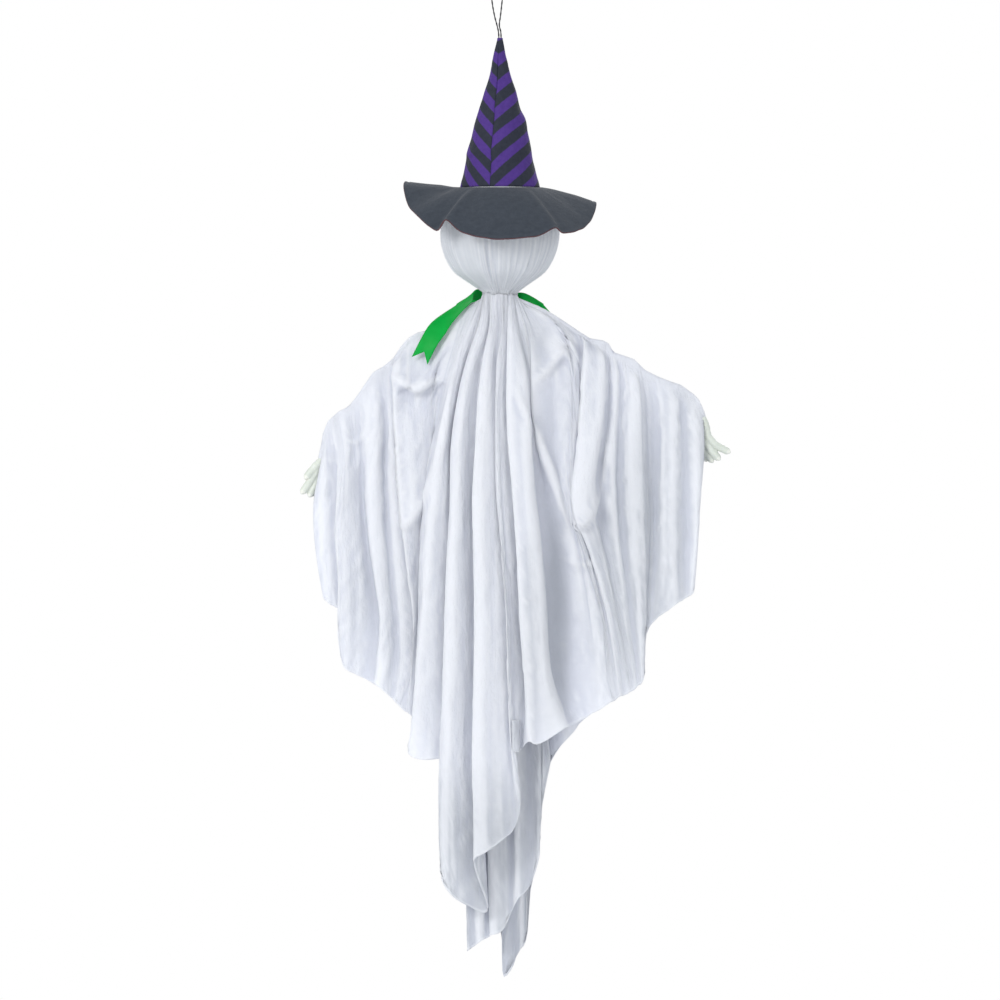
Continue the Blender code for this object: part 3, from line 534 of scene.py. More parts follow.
# Fold lines of the side that shows, in mm from the neck's centre: the start is a share of the
# arm, or an angle round the neck, then come points (across, down, out towards the viewer).
# The last pair is where the hidden side's hem ends.
LEFT_WING = [
    (0.993, [(-239, 266, 3), (-239, 304, 5), (-235, 343, 7), (-227, 390, 8)], (-227, 390)),
    (0.927, [(-228, 240, 8), (-228, 304, 11), (-225, 349, 12), (-218, 398, 11)], (-222, 394)),
    (0.857, [(-213, 221, 7), (-207, 266, 6), (-207, 317, 7), (-204, 368, 8),
         (-201, 408, 9)], (-214, 399)),
    (0.816, [(-207, 208, 16), (-210, 253, 23), (-212, 308, 24), (-208, 363, 24),
             (-207, 411, 22)], (-208, 402)),
    (0.779, [(-199, 208, 19), (-200, 266, 27), (-200, 323, 28), (-198, 394, 27),
             (-201, 477, 22)], (-199, 395)),
    (0.736, [(-190, 208, 12), (-189, 266, 16), (-185, 343, 18), (-185, 420, 18),
             (-190, 486, 18)], (-190, 391)),
    (0.688, [(-178, 201, 5), (-175, 266, 3), (-168, 343, 4), (-158, 420, 6),
         (-166, 498, 12)], (-180, 386)),
    (0.643, [(-171, 166, 18), (-169, 204, 21), (-168, 266, 23), (-163, 336, 24), (-153, 418, 23),
         (-158, 502, 20)], (-169, 389)),
    (0.589, [(-158, 176, 20), (-157, 266, 22), (-151, 343, 21), (-144, 433, 19),
             (-146, 512, 17)], (-158, 407)),
    (0.545, [(-146, 163, 8), (-148, 214, 7), (-145, 291, 8), (-140, 368, 10), (-133, 445, 11),
         (-139, 518, 14)], (-150, 448)),
    (0.512, [(-140, 163, 12), (-140, 227, 16), (-135, 304, 17), (-127, 381, 16), (-123, 458, 14),
         (-131, 526, 15)], (-144, 465)),
    (0.484, [(-135, 158, 11), (-130, 227, 11), (-124, 298, 12), (-116, 381, 11), (-109, 445, 10),
         (-124, 533, 14)], (-137, 480)),
    (0.461, [(-137, 99, 24), (-137, 158, 26), (-133, 199, 28), (-131, 240, 32), (-127, 290, 34),
         (-121, 343, 22), (-112, 420, 17), (-118, 538, 15)], (-131, 485)),
    (0.392, [(-123, 107, 32), (-122, 117, 30), (-121, 127, 19), (-118, 189, 27), (-114, 253, 35),
         (-113, 286, 37), (-112, 307, 26), (-109, 343, 16), (-105, 394, 12),
         (-113, 542, 14)], (-123, 493)),
    (0.319, [(-105, 117, 33), (-104, 126, 30), (-103, 136, 18), (-98, 189, 22), (-96, 234, 25),
         (-98, 272, 26), (-100, 298, 16), (-103, 343, 11), (-104, 394, 10),
         (-110, 544, 13)], (-112, 507)),
    (0.001, [(-44, 17, 10), (-59, 60, 22), (-72, 107, 27), (-74, 119, 18), (-82, 168, 12),
         (-92, 204, 10), (-99, 245, 10), (-103, 317, 10), (-104, 420, 11),
         (-107, 551, 12)], (-98, 530)),
]
NECK = [
    (-82, [(-39, 37, 24), (-56, 89, 37), (-68, 144, 43), (-77, 196, 48), (-83, 249, 51),
         (-90, 304, 53), (-96, 381, 53), (-103, 458, 49), (-109, 535, 45),
         (-117, 590, 38)], (-89, 561)),
    (-75, [(-35, 37, 26), (-50, 89, 33), (-62, 144, 36), (-69, 201, 40), (-73, 266, 43),
         (-80, 343, 45), (-86, 445, 45), (-92, 522, 42), (-98, 597, 38)], (-85, 569)),
    (-67, [(-30, 41, 23), (-45, 89, 26), (-55, 144, 26), (-60, 201, 27), (-60, 266, 28),
         (-63, 343, 30), (-68, 445, 32), (-71, 522, 33), (-72, 599, 33)], (-80, 579)),
    (-60, [(-28, 41, 28), (-44, 89, 34), (-56, 144, 38), (-63, 201, 43), (-64, 266, 47),
         (-68, 343, 50), (-72, 445, 51), (-74, 522, 50), (-77, 599, 48), (-78, 689, 44),
         (-76, 743, 41)], (-74, 587)),
    (-52, [(-23, 41, 30), (-37, 86, 39), (-47, 137, 45), (-54, 201, 51), (-56, 266, 55),
         (-59, 343, 58), (-63, 445, 59), (-64, 522, 58), (-67, 599, 55), (-68, 689, 50),
         (-67, 765, 43)], (-68, 604)),
    (-45, [(-18, 41, 29), (-31, 86, 35), (-40, 137, 39), (-44, 201, 42), (-45, 266, 44),
         (-46, 368, 46), (-47, 471, 46), (-49, 599, 44), (-50, 689, 42),
         (-51, 779, 38)], (-58, 638)),
    (-37, [(-14, 41, 25), (-24, 86, 27), (-30, 137, 28), (-30, 201, 29), (-30, 266, 29),
         (-30, 368, 30), (-30, 471, 31), (-28, 599, 31), (-23, 702, 28),
         (-17, 793, 26)], (-47, 676)),
    (-30, [(-13, 41, 31), (-22, 86, 40), (-28, 137, 47), (-32, 201, 53), (-35, 266, 58),
         (-33, 368, 62), (-33, 471, 63), (-35, 599, 62), (-33, 676, 60),
         (-33, 725, 58)], (-41, 699)),
    (-22, [(-9, 41, 31), (-15, 86, 41), (-19, 137, 50), (-23, 201, 57), (-24, 266, 63),
         (-24, 368, 67), (-24, 471, 68), (-24, 599, 67), (-23, 676, 64),
         (-22, 719, 61)], (-35, 719)),
    (-15, [(-5, 41, 28), (-10, 86, 36), (-12, 137, 44), (-13, 201, 51), (-14, 266, 56),
         (-14, 368, 60), (-13, 471, 62), (-12, 599, 61), (-10, 711, 58)], (-28, 738)),
    (-7, [(-1, 41, 24), (-5, 86, 30), (-5, 137, 36), (-5, 201, 42), (-5, 266, 46), (-3, 368, 51),
         (0, 471, 54), (3, 599, 54), (6, 699, 52)], (-21, 760)),
    (0, [(1, 41, 26), (-1, 86, 29), (-3, 137, 32), (-3, 201, 35), (0, 266, 37), (6, 343, 40),
         (12, 420, 42), (14, 497, 43), (14, 599, 45), (17, 688, 48)], (-14, 778)),
    (7, [(3, 41, 33), (-4, 86, 42), (-6, 137, 48), (-6, 201, 53), (-4, 266, 58), (3, 343, 61),
         (8, 420, 62), (10, 497, 61), (14, 580, 58), (19, 620, 55), (26, 660, 51)], (-8, 794)),
    (15, [(6, 41, 32), (4, 86, 39), (1, 137, 44), (3, 201, 48), (5, 266, 51), (10, 343, 52),
         (15, 420, 51), (19, 497, 49), (21, 583, 47)], (0, 815)),
    (22, [(10, 41, 28), (10, 86, 31), (13, 137, 32), (17, 201, 33), (22, 266, 34), (27, 343, 34),
         (31, 420, 33), (35, 497, 32), (26, 584, 36)], (4, 843)),
    (30, [(10, 41, 34), (9, 86, 43), (8, 137, 49), (10, 189, 54), (14, 234, 58), (18, 285, 61),
         (22, 343, 63), (26, 420, 63), (31, 490, 62), (37, 574, 57)], (5, 878)),
    (37, [(15, 41, 36), (17, 86, 45), (18, 137, 51), (21, 189, 56), (27, 253, 60), (33, 330, 62),
         (39, 407, 62), (44, 484, 61), (47, 578, 55)], (13, 870)),
    (45, [(22, 47, 33), (32, 92, 41), (36, 137, 46), (39, 189, 52), (42, 253, 57), (50, 317, 60),
         (55, 381, 61), (58, 445, 60), (64, 501, 57), (82, 557, 50)], (21, 852)),
    (52, [(27, 47, 27), (36, 92, 31), (39, 137, 33), (41, 189, 31), (47, 253, 20), (55, 330, 10),
         (63, 407, 8), (69, 484, 11), (91, 553, 20)], (27, 842)),
    (60, [(33, 47, 25), (40, 92, 28), (42, 137, 31), (46, 189, 27), (56, 253, 13), (68, 330, 4),
         (80, 420, 4), (87, 510, 11), (101, 549, 20)], (33, 833)),
    (67, [(39, 47, 25), (39, 118, 37), (41, 155, 43), (49, 187, 43), (62, 219, 37),
         (74, 249, 31), (86, 291, 25), (98, 343, 20), (109, 420, 15), (112, 497, 17),
         (117, 539, 23)], (39, 766)),
    (75, [(42, 41, 22), (53, 73, 27), (60, 92, 34), (63, 109, 24), (65, 137, 19), (69, 189, 18),
         (78, 240, 23), (91, 285, 25), (103, 334, 18), (118, 420, 17), (126, 497, 21),
         (128, 533, 24)], (49, 724)),
    (82, [(50, 37, 17), (64, 68, 26), (69, 83, 33), (72, 99, 23), (74, 137, 17), (78, 195, 18),
         (85, 246, 26), (95, 291, 29), (107, 338, 19), (124, 420, 18), (132, 497, 21),
         (136, 527, 24)], (54, 651)),
]
RIGHT_WING = [
    (0.001, [(58, 32, 15), (76, 65, 24), (81, 76, 32), (83, 92, 22), (86, 137, 17),
         (86, 201, 21), (89, 253, 29), (96, 294, 32), (109, 338, 20), (130, 420, 18),
         (137, 497, 21), (142, 524, 24)], (65, 599)),
    (0.216, [(90, 64, 30), (94, 78, 20), (95, 137, 17), (94, 201, 24), (92, 259, 33),
         (99, 296, 35), (112, 334, 22), (133, 420, 18), (142, 484, 20),
         (148, 521, 23)], (85, 572)),
    (0.302, [(105, 67, 10), (104, 137, 14), (99, 201, 20), (94, 253, 27), (101, 296, 28),
         (117, 340, 18), (137, 420, 17), (151, 518, 22)], (96, 560)),
    (0.323, [(107, 58, 16), (108, 81, 25), (103, 144, 31), (98, 201, 37), (92, 253, 42),
         (95, 284, 43), (104, 302, 38), (119, 343, 26), (140, 420, 22),
         (154, 517, 22)], (101, 553)),
    (0.368, [(118, 83, 22), (116, 144, 30), (112, 201, 37), (107, 259, 43), (108, 291, 43),
         (116, 308, 33), (128, 345, 23), (146, 420, 20), (159, 515, 20)], (113, 542)),
    (0.433, [(132, 89, 19), (130, 144, 26), (124, 201, 31), (118, 253, 35), (118, 278, 34),
         (127, 314, 21), (139, 362, 19), (153, 433, 18), (166, 512, 19)], (126, 531)),
    (0.463, [(141, 101, 7), (140, 144, 8), (133, 201, 9), (128, 253, 10), (132, 304, 11),
         (144, 362, 14), (158, 433, 16), (171, 508, 18)], (137, 525)),
    (0.493, [(149, 109, 14), (146, 176, 17), (144, 240, 17), (149, 317, 15), (160, 394, 15),
         (175, 504, 18)], (145, 521)),
    (0.523, [(157, 124, 7), (154, 189, 8), (153, 253, 8), (159, 330, 10), (168, 407, 13),
         (178, 502, 17)], (153, 516)),
    (0.567, [(168, 131, 20), (168, 189, 26), (169, 266, 28), (175, 343, 26), (180, 420, 22),
         (182, 499, 20)], (164, 511)),
    (0.612, [(180, 137, 18), (181, 201, 21), (182, 278, 23), (184, 356, 21), (185, 433, 18),
         (185, 492, 18)], (173, 494)),
    (0.641, [(189, 144, 7), (190, 201, 6), (193, 278, 6), (193, 343, 8), (190, 407, 12),
         (186, 445, 15)], (181, 445)),
    (0.674, [(199, 150, 4), (200, 201, 3), (200, 291, 4), (199, 356, 7),
         (194, 424, 12)], (193, 420)),
    (0.711, [(210, 157, 12), (210, 201, 15), (209, 266, 18), (210, 343, 18),
         (208, 411, 14)], (207, 404)),
    (0.753, [(221, 157, 18), (221, 214, 19), (221, 291, 22), (223, 356, 21),
         (225, 400, 16)], (222, 394)),
    (0.809, [(235, 169, 9), (237, 227, 8), (239, 304, 8), (239, 390, 10)], (236, 386)),
    (0.882, [(252, 176, 14), (254, 240, 14), (253, 317, 13), (246, 385, 9)], (244, 379)),
    (0.985, [(262, 201, 4), (258, 254, 5), (255, 308, 6), (250, 377, 6)], (249, 368)),
]

# The hidden side: how far each part stands off the middle plane, in mm, how wide it is beside
# the shown side, how deep its folds are beside the shown ones, and where down it the points lie
LEFT_HIDDEN_DEPTH = 27
NECK_HIDDEN_DEPTH = 54
RIGHT_HIDDEN_DEPTH = 30
HIDDEN_SPREAD = 0.98
HIDDEN_FOLD_SHARE = 0.55
HIDDEN_SHARES = (0.12, 0.27, 0.42, 0.57, 0.7, 0.82, 0.92)
HIDDEN_DRAWS_IN = (0.5, 0.88)

# How fine the grids are: rows down a fold line, which lie a little closer near its top, and a
# column's width in mm
SHOWN_ROWS = 98
HIDDEN_ROWS = 66
SHOWN_COLUMN = 3.8
HIDDEN_COLUMN = 9.5
ROWS_CLOSER = 1.1

# The hem's rows, in mm from its edge, and how far each rolls out
HEM_ROWS = (3.6, 2.8, 2.0, 0.9, 0.0)
HEM_ROLL = (0.0, 0.35, 0.6, 0.55, 0.15)

# Where the cloth turns over the wire, in degrees from the top
WRAP_ANGLES = (0, 20, 40, 60, 78, 90)
WRAP_FADES = 4
SHEET_THICKNESS = 0.0008
ARM_STEPS = 16
NORMAL_REACH = 0.03


def arm_curve(points):
    return smooth_curve([Vector((x * MM, 0, NECK_Z - drop * MM)) for x, drop in points],
                        ARM_STEPS)


def outward_normal(curve, share):
    before, after = along(curve, (max(share - NORMAL_REACH, 0.0),
                                  min(share + NORMAL_REACH, 1.0)))
    run = (after - before).normalized()
    normal = Vector((-run.z, 0, run.x))
    return normal if normal.z > 0 else -normal


# The cloth's highest line over the arms, where it rides up in folds: x and drop, in mm
TOP_FOLDS = [(-234, 213), (-230, 204), (-228, 180), (-221, 163), (-207, 150), (-187, 141),
             (-176, 119), (-163, 100), (-149, 92), (-136, 81), (-128, 68), (-118, 56),
             (-106, 49), (-94, 47), (-86, 49), (-77, 42), (81, 35), (107, 51), (112, 56),
             (139, 60), (145, 74), (172, 83), (186, 97), (210, 109), (232, 116), (254, 132),
             (263, 152)]
LONGEST_TOP_FOLD = 60
HIGHEST_LIFT = 0.008


def fold_lift(x, z):
    """How far the cloth rides up above the wire's own line."""
    for start, end in zip(TOP_FOLDS, TOP_FOLDS[1:]):
        if start[0] <= x / MM <= end[0] and end[0] - start[0] < LONGEST_TOP_FOLD:
            part = (x / MM - start[0]) / (end[0] - start[0])
            top = NECK_Z - (start[1] + (end[1] - start[1]) * part) * MM
            return min(max(top - z, 0.0), HIGHEST_LIFT)
    return 0.0


def over_wire(curve, share, side):
    """The cloth's first points where it folds over the wire, side -1 towards the viewer."""
    normal = outward_normal(curve, share)
    top = along(curve, (share,))[0]
    centre = top - normal * FOLD_RADIUS
    lift = Vector((0, 0, fold_lift(top.x, top.z)))
    turned = []
    for degrees in WRAP_ANGLES:
        angle = math.radians(degrees)
        out = Vector((0, side * math.sin(angle), 0))
        point = centre + FOLD_RADIUS * (normal * math.cos(angle) + out)
        turned.append(point + lift * math.cos(angle) ** 0.5 if degrees < 90 else point)
    return turned


def body_rows(start, hanging, rows, side):
    """Points evenly down a fold line, with closer ones that roll the hem."""
    curve = smooth_curve([start] + hanging)
    length = lengths_along(curve)[-1]
    free = length - HEM_ROWS[0] * MM
    shares = [free / length * (row / rows) ** ROWS_CLOSER for row in range(1, rows)]
    shares += [1 - inset * MM / length for inset in HEM_ROWS]
    found = along(curve, shares)
    for index, roll in enumerate(HEM_ROLL):
        found[index - len(HEM_ROLL)].y += side * roll * MM
    return found


def in_view(point):
    """A point in front of the middle plane, where it still shows at its own height."""
    share = min(point.y, 0.0) / CAMERA_AWAY
    return Vector((point.x * (1 + share), point.y, VIEW_Z + (point.z - VIEW_Z) * (1 + share)))


def line_points(line, side):
    return [in_view(Vector((x * MM, side * out * MM, NECK_Z - drop * MM)))
            for x, drop, out in line]


# How the cloth rolls out over the neck's tie: spread past the neck and height, in mm
HEAD_RUFFLE = [(0.0, 0.0), (0.4, 1.7), (1.8, 2.6), (3.8, 2.5), (5.0, 1.2), (5.3, -0.9),
               (6.0, -0.6), (6.9, 4.8)]
NECK_RUFFLE = [(0.0, 0.0), (0.6, 1.9), (2.6, 2.0), (4.2, 0.6), (4.9, -1.1), (5.8, 1.4)]


def neck_shift(around):
    """How far the gather rises or falls on one side of the neck."""
    return (2.6 * ring_noise(around, 2.3, 4.4) + 2.0 * ring_noise(around, 8, 7.7)) * MM


def neck_start(degrees, side):
    angle = math.radians(degrees)
    around = Vector((math.sin(angle), side * math.cos(angle), 0))
    shift = neck_shift(around)
    ring = []
    for spread, drop in NECK_RUFFLE:
        uneven = ring_noise(around, 6, 2.2) + 1.3 * ring_noise(around, 13, 61)
        radius = NECK_RADIUS + (spread + 0.25 * spread * uneven) * MM
        ring.append(around * radius + Vector((0, 0, NECK_Z - drop * MM + shift)))
    return ring


def hidden_line(line, hem, mean):
    """The hidden side's fold line: its folds stand out where the shown side's stand in, and it
    draws in towards its own hem."""
    points = []
    for share in HIDDEN_SHARES:
        drop = share * hem[1]
        before = line[0]
        after = line[-1]
        for first, second in zip(line, line[1:]):
            if first[1] <= drop <= second[1]:
                before, after = first, second
        part = min(max((drop - before[1]) / max(after[1] - before[1], 1), 0.0), 1.0)
        x = (before[0] + (after[0] - before[0]) * part) * HIDDEN_SPREAD
        out = before[2] + (after[2] - before[2]) * part
        x = hem[0] + (x - hem[0]) * (1 - ease(*HIDDEN_DRAWS_IN, share))
        if drop > line[0][1]:
            points.append((x, drop, mean - HIDDEN_FOLD_SHARE * out))
    points.append((hem[0], hem[1], mean - HIDDEN_FOLD_SHARE * line[-1][2]))
    return points


def all_lines(side, rows):
    """Every fold line of one side, from the left wing's edge to the right wing's: what it
    hangs from, and its points."""
    lines = []
    for curve, wing, mean in ((arm_curve(LEFT_ARM), LEFT_WING, LEFT_HIDDEN_DEPTH),
                              (None, NECK, NECK_HIDDEN_DEPTH),
                              (arm_curve(RIGHT_ARM), RIGHT_WING, RIGHT_HIDDEN_DEPTH)):
        for start, line, hem in wing:
            if side > 0:
                line = hidden_line(line, hem, mean)
            top = over_wire(curve, start, side) if curve else neck_start(start, side)
            lines.append((curve, start, top + body_rows(top[-1], line_points(line, side),
                                                        rows, side)))
    return lines


def spread_lines(lines, side, column_width):
    """A fine grid: columns between the fold lines, closer where the lines lie close."""
    columns = []
    last = len(lines) - 1
    rows = len(lines[0][2])
    wrap = len(WRAP_ANGLES)
    for index in range(last):
        around = [lines[max(index - 1, 0)][2], lines[index][2], lines[index + 1][2],
                  lines[min(index + 2, last)][2]]
        left, right = around[1], around[2]
        levels = (rows // 4, rows // 2, rows - 8)
        gap = sum((left[row] - right[row]).length for row in levels) / len(levels)
        steps = max(2, round(gap / MM / column_width))
        same = lines[index][0] is not None and lines[index][0] is lines[index + 1][0]
        for step in range(steps):
            share = step / steps
            if step == 0:
                columns.append([point.copy() for point in left])
                continue
            column = [between(*[near[row] for near in around], share) for row in range(rows)]
            if same:
                start = lines[index][1] + (lines[index + 1][1] - lines[index][1]) * share
                fold = over_wire(lines[index][0], start, side)
                shift = fold[-1] - column[wrap - 1]
                for row in range(wrap, rows):
                    column[row] += shift * (1 - row / (rows - 1)) ** WRAP_FADES
                column = fold + column[wrap:]
            columns.append(column)
    columns.append([point.copy() for point in lines[last][2]])
    return columns


# The share of each fold's depth that is kept, in the middle and on the wings, and the number of
# columns each way that its mean depth is taken from
RELIEF_KEPT = 0.56
WING_RELIEF = 0.8
RELIEF_REACH = 9
RELIEF_ROWS = 8
WING_FROM = (0.07, 0.11)


def soften_relief(columns):
    """Keeps part of each fold's depth, so that narrow folds stay shallow."""
    count = len(columns)
    for row in range(len(WRAP_ANGLES), len(columns[0])):
        depths = [column[row].y for column in columns]
        for index in range(count):
            near = depths[max(index - RELIEF_REACH, 0):index + RELIEF_REACH + 1]
            mean = sum(near) / len(near)
            share = ease(0, RELIEF_ROWS, row - len(WRAP_ANGLES))
            wing = ease(*WING_FROM, abs(columns[index][row].x))
            kept = 1 + ((RELIEF_KEPT + (WING_RELIEF - RELIEF_KEPT) * wing) - 1) * share
            columns[index][row].y = mean + (depths[index] - mean) * kept


def grid_normals(columns):
    normals = []
    last = len(columns) - 1
    for index, column in enumerate(columns):
        left = columns[max(index - 1, 0)]
        right = columns[min(index + 1, last)]
        found = []
        for row in range(len(column)):
            down = column[min(row + 1, len(column) - 1)] - column[max(row - 1, 0)]
            found.append(down.cross(right[row] - left[row]).normalized())
        normals.append(found)
    return normals


# For the painted highlight on crests and the painted shade in grooves: how many columns away, and
# the height in metres that counts as a full crest
CREST_HEIGHTS = ((1, 0.0003), (3, 0.0032))


def fold_shading(columns, closed=False):
    """How far each point stands out from the cloth beside it, for a painted highlight, and how far
    in from it, for a painted shade.
    """
    normals = grid_normals(columns)
    count = len(columns)
    crest_highlights = []
    groove_shades = []
    for index, column in enumerate(columns):
        for row, point in enumerate(column):
            stand = 0.0
            for reach, height in CREST_HEIGHTS:
                if closed:
                    left = columns[(index - reach) % (count - 1)]
                    right = columns[(index + reach) % (count - 1)]
                else:
                    left = columns[max(index - reach, 0)]
                    right = columns[min(index + reach, count - 1)]
                mean = (left[row] + right[row]) / 2
                stand += 0.5 * (point - mean).dot(normals[index][row]) / height
            crest_highlights.append(min(max(stand, 0.0), 1.0))
            groove_shades.append(min(max(-stand, 0.0), 1.0))
    return crest_highlights, groove_shades


# Folds that hang across the shown side between the long ones: places (x and drop below the
# neck), height and width, in mm
DRAPES = [
    ([(98, 57), (79, 76), (62, 95), (39, 117)], 3.4, 5.0),
    ([(16, 112), (30, 149), (44, 177), (60, 213), (73, 248), (89, 287), (101, 297), (112, 291),
      (124, 262), (135, 218), (137, 172)], 4.6, 5.2),
    ([(87, 337), (96, 346), (110, 346), (121, 342)], 4.4, 4.4),
    ([(105, 90), (103, 113), (99, 163), (95, 195)], 2.2, 4.0),
    ([(-138, 150), (-133, 220), (-127, 295), (-103, 272), (-83, 227), (-71, 176), (-58, 112)],
     4.5, 5.0),
    ([(-141, 100), (-124, 114), (-108, 120), (-92, 114), (-76, 102)], 4.8, 5.0),
    ([(-201, 187), (-184, 190), (-172, 177), (-164, 160)], 3.6, 3.8),
]
DRAPE_STEPS = 10
# How much painted highlight a drape gets for each mm that it stands out
DRAPE_HIGHLIGHT = 0.08


def drape_trees():
    trees = []
    for places, height, width in DRAPES:
        curve = smooth_curve([Vector((x * MM, 0, NECK_Z - drop * MM)) for x, drop in places],
                             DRAPE_STEPS)
        tree = kdtree.KDTree(len(curve))
        for index, point in enumerate(curve):
            tree.insert(point, index)
        tree.balance()
        trees.append((tree, len(curve) - 1, height * MM, width * MM))
    return trees


def drape_lift(trees, point):
    lift = 0.0
    place = Vector((point.x, 0, point.z))
    for tree, last, height, width in trees:
        _, index, away = tree.find(place)
        fade = ease(0, DRAPE_STEPS, min(index, last - index) + 1)
        lift += fade * height * math.exp(-(away / width) ** 2)
    return lift


# Where columns lie closer than this, in metres, small folds are shallower
COLUMN_ROOM = 0.0035
# Small folds: how close they lie across and down the cloth, which draw, and height in mm
LONG_FOLDS = (46, 5, 0, 1.5)
NARROW_FOLDS = (120, 9, 5, 0.8)
FINE_FOLDS = (190, 75, 3, 0.3)
# Sharp folds on a slant: the same, with the slant as the second number
CREASES = (48, 22, 34, 7, 1.3)
PUCKERS = (60, 9, 55, 17, 1.6)
SLANTS = (26, 30, 14, 23, 1.5)
# Fine gathers under the neck, and the ragged hem
GATHERS = (330, 3, 11, 0.8)
RAGGED_HEM = ((75, 0.5, 1.0), (210, 8.5, 0.5))
RAGGED_HEIGHT = 1.5
# Half widths in metres of the arms' part and the neck's part, and how far down they reach
ARM_PART = 0.08
PUCKER_REACH = (0.05, 0.16)
NECK_PART = 0.06
GATHER_REACH = (0.02, 0.12)
FOLDS_START = (0.004, 0.03)


def fold_noise(u, v, seed, kind):
    across, down, draw, height = kind
    return height * noise.noise(Vector((u * across, v * down, seed + draw)))


def sharp_fold(u, v, seed, kind, crest):
    across, slant, down, draw, height = kind
    place = Vector((u * across + v * slant, v * down, seed + draw))
    return height * (crest - abs(noise.noise(place)))


def wrinkle(columns, side, seed):
    """Small folds and creases on top of the main folds; also the cloth's own coordinates.
    Each noise takes the place on the cloth, across and down, stretched to its kind of fold."""
    normals = grid_normals(columns)
    middle = len(columns[0]) // 2
    across_cloth = [0.0]
    gaps = []
    for index, right in enumerate(columns):
        left = columns[max(index - 1, 0)]
        if index:
            width = (right[middle] - left[middle]).length
            across_cloth.append(across_cloth[-1] + width)
        ahead = columns[min(index + 1, len(columns) - 1)]
        beside = min(index, 1) + min(len(columns) - 1 - index, 1)
        gaps.append([(end - start).length / beside for start, end in zip(left, ahead)])
    trees = drape_trees() if side < 0 else []
    uvs = []
    for index, column in enumerate(columns):
        run = lengths_along(column)
        for row, point in enumerate(column):
            u = across_cloth[index]
            v = run[row]
            uvs.append((u, v))
            grow = ease(*FOLDS_START, v)
            folds = fold_noise(u, v, seed, LONG_FOLDS) + fold_noise(u, v, seed, NARROW_FOLDS)
            folds += sharp_fold(u, v, seed, CREASES, 0.5) + fold_noise(u, v, seed, FINE_FOLDS)
            if abs(point.x) > ARM_PART:
                near_top = 1 - ease(*PUCKER_REACH, v)
                folds += near_top * sharp_fold(u, v, seed, PUCKERS, 0.4)
                folds += sharp_fold(u, v, seed, SLANTS, 0.35)
            height = grow * folds * MM + drape_lift(trees, point)
            height *= ease(0.2, 1.0, gaps[index][row] / COLUMN_ROOM)
            if abs(point.x) < NECK_PART and v < GATHER_REACH[1]:
                fade = 1 - ease(*GATHER_REACH, v)
                height += fade * fold_noise(u, v, seed, GATHERS) * MM
            out = normals[index][row]
            if out.y * side < 0:
                out = -out
            column[row] = point + out * height
            if row >= len(column) - len(HEM_ROWS):
                ragged = sum(share * noise.noise(Vector((u * across, seed, draw)))
                             for across, draw, share in RAGGED_HEM)
                column[row].z += RAGGED_HEIGHT * ragged * MM
    return uvs


# Patches of painted shade where the cloth hangs in one layer: middle across and down from the
# neck's centre and half reach each way, in mm, and how grey
ONE_LAYER_SHADE_PATCHES = [(180, 340, 85, 230, 0.72), (235, 240, 45, 170, 0.45), (72, 420, 22, 170, 0.9),
                (40, 440, 18, 170, 0.55), (42, 68, 26, 48, 0.5), (-150, 420, 70, 120, 0.3)]
ONE_LAYER_SHADE_FADES = (0.35, 1.1)
# Painted shade below the outer sheet's hem: where the grey starts and is full, in mm, and how grey
LOW_ONE_LAYER_SHADE = (570, 690, 0.85)


def one_layer_shade_at(point):
    """How much painted shade the cloth gets at a point where it hangs in one layer."""
    x = point.x / MM
    drop = (NECK_Z - point.z) / MM
    grey = ease(*LOW_ONE_LAYER_SHADE[:2], drop) * LOW_ONE_LAYER_SHADE[2]
    for across, down, wide, high, amount in ONE_LAYER_SHADE_PATCHES:
        reach = math.hypot((x - across) / wide, (drop - down) / high)
        grey = max(grey, amount * (1 - ease(*ONE_LAYER_SHADE_FADES, reach)))
    return grey


# The cloth over the head: its grid, how much closer its rows lie at the neck, the steps over
# the ball, the hole left at the top, and its width for one radian round and height, in metres
HEAD_COLUMNS = 264
HEAD_ROWS = 34
HEAD_CLOSER = 1.6
BALL_STEPS = 11
TOP_HOLE = 0.0004
HEAD_CLOTH = (0.076, 0.09)


